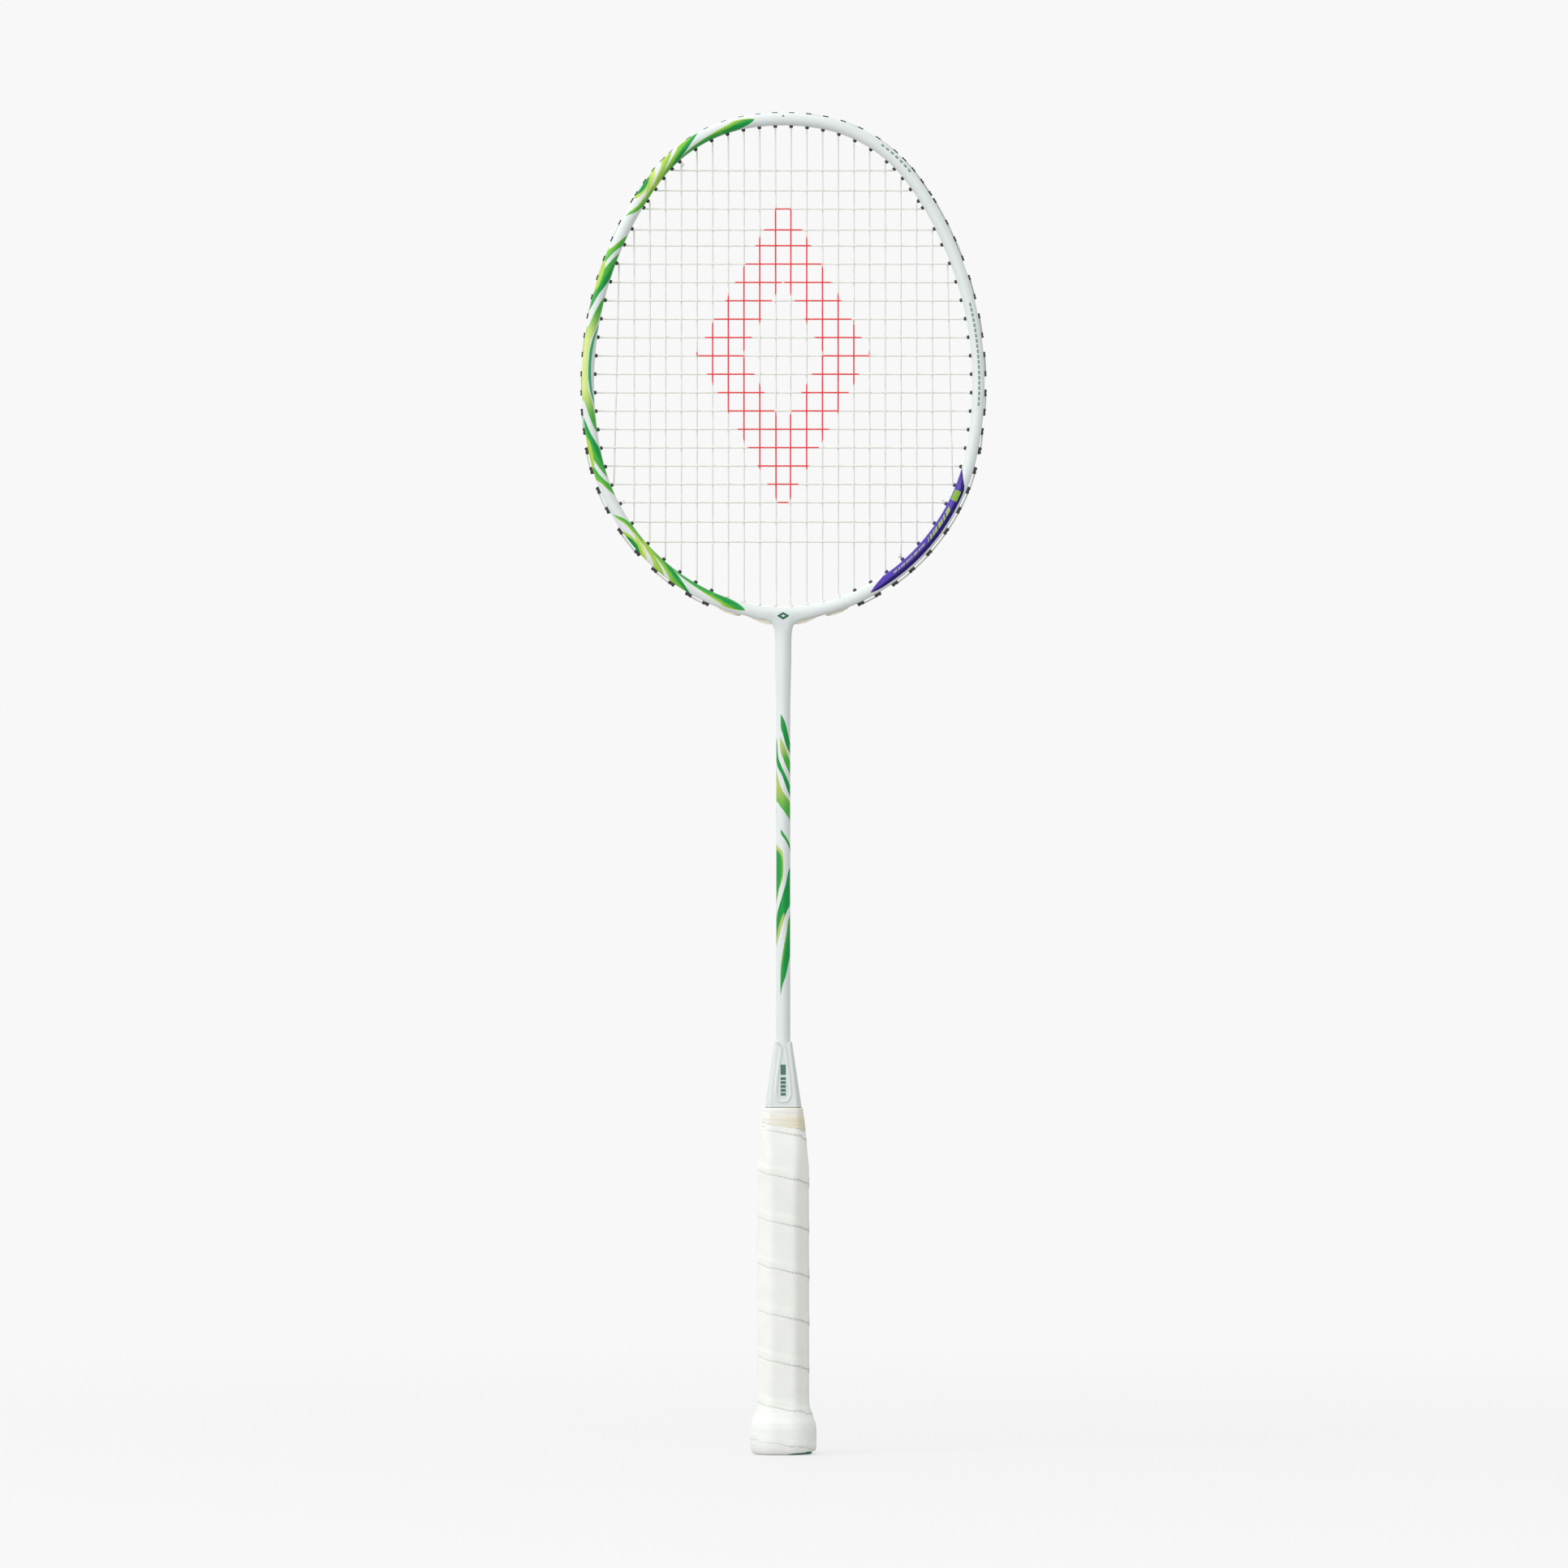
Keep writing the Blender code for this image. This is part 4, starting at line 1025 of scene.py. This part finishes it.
def half_of_mains(side):
    """Main string from its knot low on one side to the middle of the ring's top."""
    path = knotted_end(holes[side, MAIN_KNOT_INDEX], 1)
    path += outside_run(side, MAIN_KNOT_INDEX, BOTTOM_HOLE_OF[MAINS_PER_SIDE], 1)
    for column in range(MAINS_PER_SIDE, 0, -1):
        number = MAINS_ACROSS.index((side, column))
        points = [Vector((crossing_x(side, column, row), -over(number, row) * WEAVE_HEIGHT,
                          cross_z(row)))
                  for row in range(CROSS_COUNT, 0, -1) if is_crossed(side, column, row)]
        run = weave(points, holes[side, BOTTOM_HOLE_OF[column]].inner_turn(1),
                    holes[side, TOP_HOLE_OF[column]].inner_turn(1))
        goes_up = column % 2 == 1
        path += run if goes_up else run[::-1]
        if column > 1:
            hole_of = TOP_HOLE_OF if goes_up else BOTTOM_HOLE_OF
            path += outside_run(side, hole_of[column], hole_of[column - 1], 1)
    return path + [holes[side, HOLES_PER_SIDE].outer_turn(0)]


def main_path():
    """One string through all mains, from a knot low on the right to one low on the left."""
    top, outward = on_outline(half_round)
    middle = top + outward * holes[1, HOLES_PER_SIDE].string_depth()
    return half_of_mains(1) + [middle] + half_of_mains(-1)[::-1]


def cross_path():
    """One string through all crosses, woven over and under the mains."""
    side, first = CROSS_START_KNOT
    path = knotted_end(holes[side, first], -1)
    path += outside_run(side, first, CROSS_HOLE_OF[1], -1)
    for row in range(1, CROSS_COUNT + 1):
        left, right = cross_ends(row)
        points = []
        for number, (side, column) in enumerate(MAINS_ACROSS):
            if is_crossed(side, column, row):
                x = crossing_x(side, column, row)
                z = left.lerp(right, (x - left.x) / (right.x - left.x)).z
                points.append(Vector((x, over(number, row) * WEAVE_HEIGHT, z)))
        run = weave(points, left, right)
        path += run if row % 2 else run[::-1]
        if row < CROSS_COUNT:
            path += outside_run(1 if row % 2 else -1, CROSS_HOLE_OF[row], CROSS_HOLE_OF[row + 1], -1)
    side, last = CROSS_END_KNOT
    path += outside_run(side, CROSS_HOLE_OF[CROSS_COUNT], last, -1)
    return path + knotted_end(holes[side, last], -1)[::-1]


STENCIL_CENTRE_Z = 0.5545
STENCIL_HALF = (0.0440, 0.0800)
STENCIL_RING = (0.46, 1.0)
STENCIL_RED = (0.80, 0.035, 0.045)


def string_material():
    """White coated string with a fine twist and a plain red diamond ring stencilled on the bed."""
    finish = Finish("string_white")
    x, _, z = finish.axes()
    reach = abs(x) / STENCIL_HALF[0] + abs(z - STENCIL_CENTRE_Z) / STENCIL_HALF[1]
    ring = band(reach + (finish.noise(700.0) - 0.5) * 0.05, *STENCIL_RING, edge=0.012)
    ink = ring * finish.uneven(2200.0, 0.75, 1.0, 2.0, start=0.25, stop=0.5)
    white = shaded((0.80, 0.81, 0.75), finish.uneven(1800.0, 0.93, 1.0, 2.0))
    return finish.surface(blend(ink, white, STENCIL_RED), 0.5,
                          bump(finish.noise(3500.0, 2.0), 0.00003, 0.25))


def both_strings():
    finish = string_material()
    for name, path in (("main_string", main_path()), ("cross_string", cross_path())):
        piece = string_tube(f"woven_{name}", rounded_path(path, STRING_BEND))
        dress(piece, name, finish)


# ---------------------------------------------------------------- handle sections

HANDLE_FLATTENING = 0.00155
HANDLE_CORNER_SHARE = 0.507
EDGE_POINTS = 11
CORNER_POINTS = 4
COLUMNS = 8 * (EDGE_POINTS + CORNER_POINTS)
# Share of the half width that each corner facet takes, by height in mm: narrow at the cone
FACET_SHARES = ((0.0, 0.507), (138.0, 0.507), (160.0, 0.36), (172.0, 0.27), (178.0, 0.22),
                (210.0, 0.20))


def rounded_octagon(half_width, half_depth, wide_cut, deep_cut, rounding):
    """Octagon with rounded corners, the same number of points on every one."""
    wide, deep = half_width - wide_cut, half_depth - deep_cut
    corners = [Vector(place) for place in (
        (-wide, -half_depth), (wide, -half_depth), (half_width, -deep), (half_width, deep),
        (wide, half_depth), (-wide, half_depth), (-half_width, deep), (-half_width, -deep))]
    sides = [corners[(n + 1) % 8] - corners[n] for n in range(8)]
    reaches = [min(rounding, sides[n - 1].length * 0.45, sides[n].length * 0.45) for n in range(8)]
    points = []
    for n, corner in enumerate(corners):
        ahead = sides[n].normalized()
        end = corner + ahead * reaches[n]
        stop = corners[(n + 1) % 8] - ahead * reaches[(n + 1) % 8]
        points += bend(corner - sides[n - 1].normalized() * reaches[n], corner, end, CORNER_POINTS)
        points += [end.lerp(stop, step / EDGE_POINTS) for step in range(1, EDGE_POINTS)]
    return np.array(points)


def handle_outline(half_width, rounding, share=HANDLE_CORNER_SHARE):
    cut = share * half_width
    return rounded_octagon(half_width, half_width - HANDLE_FLATTENING, cut, cut, rounding)


def facet_share(z):
    return float(np.interp(z, *np.transpose(FACET_SHARES)))


def outward_of(outline):
    """Unit normals of a closed outline that runs anticlockwise seen from above."""
    ahead = np.roll(outline, -1, axis=0) - np.roll(outline, 1, axis=0)
    return unit(np.stack([ahead[:, 1], -ahead[:, 0]], axis=1))


def perimeter_share(outline):
    """How far round each point is, as a share of the whole; 0 at the middle of the front."""
    steps = np.linalg.norm(np.diff(np.vstack([outline, outline[:1]]), axis=0), axis=1)
    around = np.concatenate([[0.0], np.cumsum(steps)[:-1]]) / steps.sum()
    front = around[int(np.argmin(np.abs(outline[:, 0]) + 10 * (outline[:, 1] > 0)))]
    return (around - front + 0.5) % 1.0 - 0.5


# ---------------------------------------------------------------- wrapped grip

# Half width of the wrap's outside from the butt upwards, in mm
GRIP_PROFILE = ((0.0, 14.7), (0.6, 15.5), (1.6, 16.1), (3.0, 16.5), (5.0, 16.75), (10.0, 16.8),
                (13.1, 16.65), (16.0, 16.1), (19.0, 14.9), (21.5, 14.0), (24.5, 13.3), (29.0, 13.05),
                (60.0, 13.0), (100.0, 13.0), (143.9, 12.95), (150.0, 12.4), (156.0, 11.8),
                (163.6, 10.95), (168.0, 10.4))
GRIP_HALF_WIDTH = 0.0132
WRAP_PITCH = 23.4
SEAM_HEIGHTS = (-13.0, 5.1, 22.9, 45.9, 69.4, 92.7, 116.2, 139.6, 161.8, 185.0)
WRAP_ROW_MM = 0.4
WRAP_THICKNESS = 0.0011
WRAP_UNDER_TAPE = 3.6
# Value of above_seam inside the wrap, where no overlap shows
CLEAR_OF_SEAMS = 10.0
LUMP_HEIGHT = 0.012


def wrap_profile(distance):
    """How far the wrap stands out, in mm, by the height above the seam below it in mm."""
    ridge = smoothstep(0.0, 0.45, distance) * (1 - smoothstep(3.0, 5.6, distance))
    groove = 1 - smoothstep(0.0, 0.30, distance) + smoothstep(WRAP_PITCH - 1.0, WRAP_PITCH, distance)
    return 0.20 * ridge - 0.14 * groove


def wrapped_grip():
    """Octagonal wrap with its helical overlaps, flared over the butt."""
    heights, widths = np.transpose(GRIP_PROFILE)
    top = grip_top_z / MM + WRAP_UNDER_TAPE
    round_at = perimeter_share(handle_outline(GRIP_HALF_WIDTH, 0.0012))
    foot_z = 0.25 + 1.35 * smoothstep(0.03, 0.13, round_at) * (1 - smoothstep(0.30, 0.48, round_at))
    rows = int(top / WRAP_ROW_MM)
    lumps = np.random.default_rng(7).normal(0, 1, (24, 3))
    rings, phases = [], []
    for row in range(rows + 1):
        z = foot_z + (top - foot_z) * row / rows
        level = z.mean()
        half = float(np.interp(level, heights, widths)) * MM
        rounding = 0.0021 + 0.006 * float(1 - smoothstep(12.0, 26.0, level))
        outline = handle_outline(half, rounding, facet_share(level))
        outline = outline * (np.interp(z, heights, widths) * MM / half)[:, None]
        turns_up = np.interp(z, SEAM_HEIGHTS, np.arange(len(SEAM_HEIGHTS)))
        distance = (turns_up + round_at - 0.05 * np.sin(2 * math.pi * round_at)) % 1.0 * WRAP_PITCH
        offset = wrap_profile(distance) * (smoothstep(12.0, 26.0, z) * 0.3 + 0.7)
        for number, (height, shift, _) in enumerate(lumps):
            phase = round_at * 2 * math.pi * (1 + number % 5) + z * 0.05 * (1 + number % 7)
            offset = offset + LUMP_HEIGHT * height * np.sin(phase + shift * 3)
        end_fade = smoothstep(0.0, 1.2, top - z)
        outline = outline + outward_of(outline) * (offset * end_fade * MM)[:, None]
        rings.append(np.column_stack([outline, z * MM]))
        phases.append(distance)
    for share in (1.0, 0.75, 0.5, 0.25, 0.0):
        z = foot_z + (top - foot_z) * share
        half = np.interp(z, heights, widths) * MM - WRAP_THICKNESS
        inner = handle_outline(GRIP_HALF_WIDTH, 0.002, facet_share(z.mean()))
        rings.append(np.column_stack([inner * (half / GRIP_HALF_WIDTH)[:, None], z * MM]))
        phases.append(np.full(COLUMNS, CLEAR_OF_SEAMS))
    piece = loft("wrapped_grip", rings, closed=True, sharp_angle=60)
    store(piece, "above_seam", phases)
    dress(piece, "grip_wrap", wrap_material())


def wrap_material():
    """Soft white polyurethane: fine pores, faint creases, and a line of painted shade under each overlap.
    """
    finish = Finish("grip_polyurethane")
    above = finish.attribute("above_seam")
    x, _, _ = finish.axes()
    # Painted shade: a dark line along each seam under the overlapping turn, full on the +X side away from
    # the lamps and fading to nothing towards -X.
    shade = calc("MAXIMUM", above.ramp(0.15, 0.80, 1.0, 0.0), above.ramp(WRAP_PITCH - 0.6, WRAP_PITCH))
    shade = shade * x.ramp(-0.011, 0.010)
    white = shaded((0.875, 0.88, 0.845), finish.uneven(90.0, 0.96, 1.0, 4.0))
    pores = add_node(finish.tree, "TexVoronoi", {"Scale": 1500.0, "Vector": finish.position()},
                     "Distance")
    fine = bump(pores.ramp(0.05, 0.35), 0.00008, 0.5)
    creases = bump(finish.noise(260.0, 5.0, 0.6), 0.0002, 0.45, fine)
    return finish.surface(blend(shade, white, (0.30, 0.31, 0.28)), finish.uneven(700.0, 0.62, 0.78),
                          creases, Sheen_Weight=0.15)


# ---------------------------------------------------------------- finishing tape

TAPE_HALF_WIDTH = 0.011
TAPE_LOW_HALF = 0.01115
TAPE_HIGH_HALF = 0.00985
TAPE_THICKNESS = 0.0008
TAPE_ROWS = 64
# Heights in mm: where the lower half width is measured, the foot, and the join of the turns
TAPE_TAPER_Z = 163.0
TAPE_FOOT_Z = 164.9
TAPE_TURN_Z = 170.0


def finishing_tape():
    """Two turns of tape over the end of the wrap; the lower turn is thicker and runs at a slant."""
    round_at = perimeter_share(handle_outline(TAPE_HALF_WIDTH, 0.001))
    slant = np.sin(2 * math.pi * (round_at - 0.02))
    foot = TAPE_FOOT_Z - 2.3 * slant
    top = np.full(COLUMNS, tape_top_z / MM)
    middle = TAPE_TURN_Z - 0.5 * slant
    rings, turns = [], []
    for row in range(TAPE_ROWS + 1):
        z = foot + (top - foot) * row / TAPE_ROWS
        half = TAPE_LOW_HALF + (TAPE_HIGH_HALF - TAPE_LOW_HALF) * (z - TAPE_TAPER_Z) / (top - TAPE_TAPER_Z)
        outline = handle_outline(TAPE_HALF_WIDTH, 0.0014, facet_share(z.mean()))
        outline = outline * (half / TAPE_HALF_WIDTH)[:, None]
        lower = 1 - smoothstep(middle - 0.10, middle + 0.10, z)
        crease = 0.03 * np.sin(z * 3.1 + 9 * round_at) + 0.02 * np.sin(z * 7.0 - 20 * round_at)
        offset = 0.14 * lower + crease - (0.12 if row == 0 else 0.0)
        offset = offset - 0.42 * smoothstep(1.0, 0.0, (TAPE_ROWS - row) / 5)
        outline = outline + outward_of(outline) * (offset * MM)[:, None]
        rings.append(np.column_stack([outline, z * MM]))
        turns.append(lower)
    for z, half in ((top, TAPE_HIGH_HALF), (foot, TAPE_LOW_HALF)):
        inner = handle_outline(half - TAPE_THICKNESS, 0.0014, facet_share(z.mean()))
        rings.append(np.column_stack([inner, z * MM]))
        turns.append(np.ones(COLUMNS))
    piece = loft("cream_finishing_tape", rings, closed=True, sharp_angle=50)
    store(piece, "lower_turn", turns)
    dress(piece, "finishing_tape", tape_material())


def tape_material():
    """Cream tape, more yellow on the right and on its lower turn, with fine lines round it."""
    finish = Finish("cream_tape")
    x, _, _ = finish.axes()
    stretched = finish.stretched(6.0)
    grain = finish.noise(130.0, 4.0, 0.6, stretched)
    # Darker and more yellow towards +X, along a grainy edge.
    yellower_towards_right = (x + grain * 0.008).ramp(-0.004, 0.015)
    thick = blend(yellower_towards_right, (0.86, 0.82, 0.73), (0.73, 0.67, 0.50))
    thin = blend(yellower_towards_right, (0.88, 0.87, 0.84), (0.76, 0.73, 0.65))
    base = blend(finish.attribute("lower_turn"), thin, thick)
    return finish.surface(shaded(base, grain.ramp(0.3, 0.7, 0.93, 1.02)), 0.45,
                          bump(finish.noise(400.0, 3.0, 0.5, stretched), 0.0001, 0.3))


# ---------------------------------------------------------------- cone and butt cap

CONE_LOW_HALF = 0.0093
CONE_HIGH_HALF = 0.0044
CONE_NOTCH_Z = 0.2036
CONE_NOTCH_HALF_WIDTH = 0.0037
CONE_FACET_DEPTH = 0.42
CONE_LEVELS = 41
CONE_ROWS = 170
CONE_REFINEMENT = 4
CONE_BORE = 0.00365
CONE_SOCKET_Z = 0.1990
# Outer half width of the raised shield by height, in mm, above its round foot
SHIELD_HALF_WIDTHS = ((176.7, 4.7), (182.4, 4.7), (190.6, 3.95), (201.6, 2.3), (210.0, 1.4))
SHIELD_FOOT = (176.7, 5.7)
SHIELD_RISE = 0.00034


def refine(outline, times):
    """Closed outline with each side split into equal parts."""
    after = np.roll(outline, -1, axis=0)
    shares = np.arange(times) / times
    return (outline[:, None] + (after - outline)[:, None] * shares[None, :, None]).reshape(-1, 2)


def cone_outline(z):
    """Outline of the cone at a height: a rectangle with narrow corner facets."""
    share = (cone_high.z - z) / (cone_high.z - cone_low.z)
    half = CONE_HIGH_HALF + (CONE_LOW_HALF - CONE_HIGH_HALF) * share
    outline = rounded_octagon(half, half - HANDLE_FLATTENING * share, facet_share(z / MM) * half,
                              CONE_FACET_DEPTH * half, 0.0006)
    return refine(outline, CONE_REFINEMENT)


def shield_ridge(height, across):
    """Raised border of the shield, with a groove inside it; height and distance across in mm."""
    foot_z, foot_height = SHIELD_FOOT
    down = ((foot_z + foot_height - height) / foot_height).clip(0, 1)
    half = np.interp(height, *np.transpose(SHIELD_HALF_WIDTHS)) * np.sqrt(1 - down ** 2)
    inside = np.minimum(half - np.abs(across), (height - foot_z) * 0.9)
    return smoothstep(0.0, 0.55, inside) - 1.05 * smoothstep(1.2, 2.1, inside)


def cone_cap():
    """Faceted glossy cone with a V notch and a raised shield, front and back."""
    tall = cone_high.z - cone_low.z
    table = np.array([cone_outline(z) for z in np.linspace(cone_low.z, cone_high.z, CONE_LEVELS)])
    columns = np.arange(table.shape[1])
    tip = table[-1]
    slope = (cone_high.z - CONE_NOTCH_Z) / CONE_NOTCH_HALF_WIDTH
    top_z = np.minimum(cone_high.z, CONE_NOTCH_Z + slope * np.abs(tip[:, 0]))
    rings, ridges = [], []
    for row in range(CONE_ROWS + 1):
        lift = row / CONE_ROWS
        z = cone_low.z + tall * lift + (top_z - cone_high.z) * smoothstep(0.72, 1.0, lift)
        at = (z - cone_low.z) / tall * (CONE_LEVELS - 1)
        lower = np.minimum(at.astype(int), CONE_LEVELS - 2)
        part = (at - lower)[:, None]
        outline = table[lower, columns] * (1 - part) + table[lower + 1, columns] * part
        normals = outward_of(outline)
        flat = smoothstep(0.93, 0.99, np.abs(normals[:, 1]))
        ridge = shield_ridge(z / MM, outline[:, 0] / MM) * flat
        rings.append(np.column_stack([outline + normals * (ridge * SHIELD_RISE)[:, None], z]))
        ridges.append(ridge)
    bore = tip * (CONE_BORE / np.linalg.norm(tip, axis=1))[:, None]
    rings.append(np.column_stack([bore, rings[-1][:, 2] - 0.0003]))
    rings.append(np.column_stack([bore, np.full(len(tip), CONE_SOCKET_Z)]))
    rings.append(np.column_stack([table[0] * 0.86, np.full(len(tip), cone_low.z)]))
    ridges += [np.zeros(len(tip))] * 3
    piece = loft("gloss_cone", rings, closed=True, sharp_angle=40)
    store(piece, "ridge", ridges)
    dress(piece, "cone_cap", cone_material())


def cone_material():
    """Gloss white plastic with a plain dark green block and a row of bars in each shield, and painted
    shade on the sunken part inside each shield's raised border.
    """
    finish = Finish("cone_gloss_plastic")
    x, y, z = finish.axes()
    block = band(z, 0.1910, 0.1962, 0.0001)
    bars = dashes(z * 1000.0, 180.5, 190.3, 1.96, 0.76)
    mark = calc("MAXIMUM", block, bars) * abs(x).ramp(0.00125, 0.00145, 1.0, 0.0)
    mark = mark * abs(y).ramp(0.0035, 0.0040)
    # Painted shade: where the ridge dips below the plain surface, inside the shield's raised border, the
    # plastic is mixed a little towards dark grey.
    sunken_panel_shade = finish.attribute("ridge").ramp(-0.15, 0.0, 0.26, 0.0)
    plastic = blend(sunken_panel_shade, (0.675, 0.715, 0.705), (0.30, 0.34, 0.31))
    return finish.lacquer(blend(mark * 0.95, plastic, DARK_GREEN), 0.1, coat=0.3, specular=0.2)


def butt_cap():
    """Moulded end cap with a bevelled rim and a shallow step in its face."""
    profile = ((1.0, cap_high.z - 0.0002), (1.0, 0.0010), (0.985, 0.0004), (0.955, 0.0001),
               (0.93, 0.0), (0.80, 0.0), (0.79, 0.0003), (0.77, 0.0004), (0.52, 0.0004),
               (0.51, 0.0003), (0.50, 0.0), (0.30, 0.0), (0.12, 0.0))
    outline = handle_outline(-cap_low.x, 0.0035)
    rings = [np.column_stack([outline * share, np.full(COLUMNS, z)]) for share, z in profile]
    piece = loft("butt_cap", rings[::-1], sharp_angle=35)
    finish = Finish("dark_green_plastic")
    made = finish.surface(shaded((0.010, 0.115, 0.082), finish.uneven(200.0, 0.8, 1.1, 4.0)),
                          finish.uneven(900.0, 0.3, 0.42),
                          bump(finish.noise(1800.0, 2.0), 0.00004, 0.4))
    dress(piece, "end_cap", made)


# ---------------------------------------------------------------- hidden pieces

def metal(name, colour, scale):
    """Bare metal with a slightly uneven tone and fine grain."""
    finish = Finish(name)
    return finish.surface(shaded(colour, finish.uneven(scale, 0.8, 1.05, 4.0)),
                          finish.uneven(scale, 0.3, 0.5),
                          bump(finish.noise(scale * 2), 0.00005, 0.4), Metallic=1.0)


def timber():
    """Pale wood with its grain along the handle."""
    finish = Finish("core_timber")
    grain = finish.noise(420.0, 6.0, 0.65, finish.stretched(0.06))
    return finish.surface(blend(grain.ramp(0.3, 0.7), (0.50, 0.33, 0.17), (0.76, 0.58, 0.36)), 0.6,
                          bump(grain, 0.0002, 0.4))


def hidden_materials():
    """Finishes for the solids that stay: wooden core, alloy connector and steel staple."""
    for node, finish in (("handle_core", timber()),
                         ("t_joint", metal("cast_alloy", (0.62, 0.63, 0.65), 900.0)),
                         ("grip_staple", metal("staple_wire", (0.72, 0.72, 0.74), 2500.0))):
        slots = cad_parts[node].data.materials
        slots.clear()
        slots.append(finish)


# ---------------------------------------------------------------- studio

BACKGROUND = (0.939, 0.939, 0.939)
BOUNCE = (0.53, 0.53, 0.52)
SKY = (0.98, 1.0, 0.99)
BRIGHT_SIDE = Vector((-0.74, 0.0, 0.67))
FLOOR_Z = -0.0002
FLOOR_RADIUS = 3.0
FLOOR_RINGS = 24
FLOOR_CORNERS = 96
# Square lamps aimed at the racket's middle: name, place, size and energy
LAMPS = (("side", (-1.95, -1.2, 1.1), 1.15, 13.0), ("overhead", (-0.3, -0.9, 2.7), 1.5, 11.0),
         ("fill", (-0.8, -2.8, 0.9), 2.2, 13.0), ("back", (-0.6, 2.4, 1.5), 1.6, 9.0))
LAMP_TARGET = Vector((0.0, 0.0, 0.35))
SENSOR_WIDTH = 36.0
VIEW_HEIGHT = 0.790188
CAMERA_PLACE = (0.0004, -6.0, 0.3375)


def floor():
    """Pale paper floor that fades into the background."""
    vertices = [(0.0, 0.0, FLOOR_Z)]
    for ring in range(1, FLOOR_RINGS + 1):
        reach = FLOOR_RADIUS * ring / FLOOR_RINGS
        vertices += [(reach * math.cos(a), reach * math.sin(a), FLOOR_Z) for a in circle(FLOOR_CORNERS)]
    faces = [(0, 1 + n, 1 + (n + 1) % FLOOR_CORNERS) for n in range(FLOOR_CORNERS)]
    faces += [face[::-1] for face in grid_faces(FLOOR_RINGS, FLOOR_CORNERS, first=1)]
    piece = new_mesh("floor", vertices, faces, smooth=False)
    finish = Finish("floor_paper")
    tree = finish.tree
    x, y, _ = finish.axes()
    fade = calc("SQRT", x * x + y * y).ramp(0.15, 1.4, 0.4, 0.0)
    paper = shaded((1.0, 1.0, 1.0), finish.uneven(900.0, 0.70, 0.73))
    shown = mix_shaders(fade, add_node(tree, "Emission", {"Color": BACKGROUND}),
                        add_node(tree, "BsdfDiffuse", {"Color": paper}))
    seen = add_node(tree, "LightPath", output="Is Camera Ray")
    surface = mix_shaders(seen, add_node(tree, "Emission", {"Color": BOUNCE}), shown)
    plug(tree.nodes["Material Output"].inputs["Surface"], surface)
    tree.nodes.remove(finish.shader)
    piece.data.materials.append(finish.material)


def sky(scene):
    """Soft light from the upper left; what the camera sees of it is plain."""
    scene.world = bpy.data.worlds.new("studio")
    scene.world.use_nodes = True
    tree = scene.world.node_tree
    light = tree.nodes["Background"]
    slant = add_node(tree, "VectorMath",
                     {0: add_node(tree, "TexCoord", output="Generated"), 1: BRIGHT_SIDE}, "Value",
                     operation="DOT_PRODUCT")
    plug(light.inputs["Strength"], slant.ramp(-0.9, 0.9, 0.55, 1.05))
    plug(light.inputs["Color"], SKY)
    seen = add_node(tree, "LightPath", output="Is Camera Ray")
    plain = add_node(tree, "Background", {"Color": BACKGROUND})
    plug(tree.nodes["World Output"].inputs["Surface"],
         mix_shaders(seen, Value(light.outputs[0]), plain))


def studio():
    """Floor, soft light and a long lens square to the front."""
    floor()
    scene = bpy.context.scene
    sky(scene)
    for name, place, size, energy in LAMPS:
        lamp = bpy.data.lights.new(name, "AREA")
        lamp.shape = "SQUARE"
        lamp.size = size
        lamp.energy = energy
        holder = bpy.data.objects.new(name, lamp)
        holder.location = place
        holder.rotation_mode = "QUATERNION"
        holder.rotation_quaternion = (LAMP_TARGET - Vector(place)).to_track_quat("-Z", "Y")
        scene.collection.objects.link(holder)
    camera = bpy.data.cameras.new("camera")
    camera.sensor_width = SENSOR_WIDTH
    camera.lens = SENSOR_WIDTH * -CAMERA_PLACE[1] / VIEW_HEIGHT
    camera.clip_end = 100.0
    holder = bpy.data.objects.new("camera", camera)
    holder.location = CAMERA_PLACE
    holder.rotation_euler = (math.pi / 2, 0, 0)
    scene.collection.objects.link(holder)
    scene.camera = holder
    scene.view_settings.view_transform = "Standard"


# ---------------------------------------------------------------- everything

head_ring()
shaft_tube()
all_grommets()
both_strings()
wrapped_grip()
finishing_tape()
cone_cap()
butt_cap()
hidden_materials()
studio()
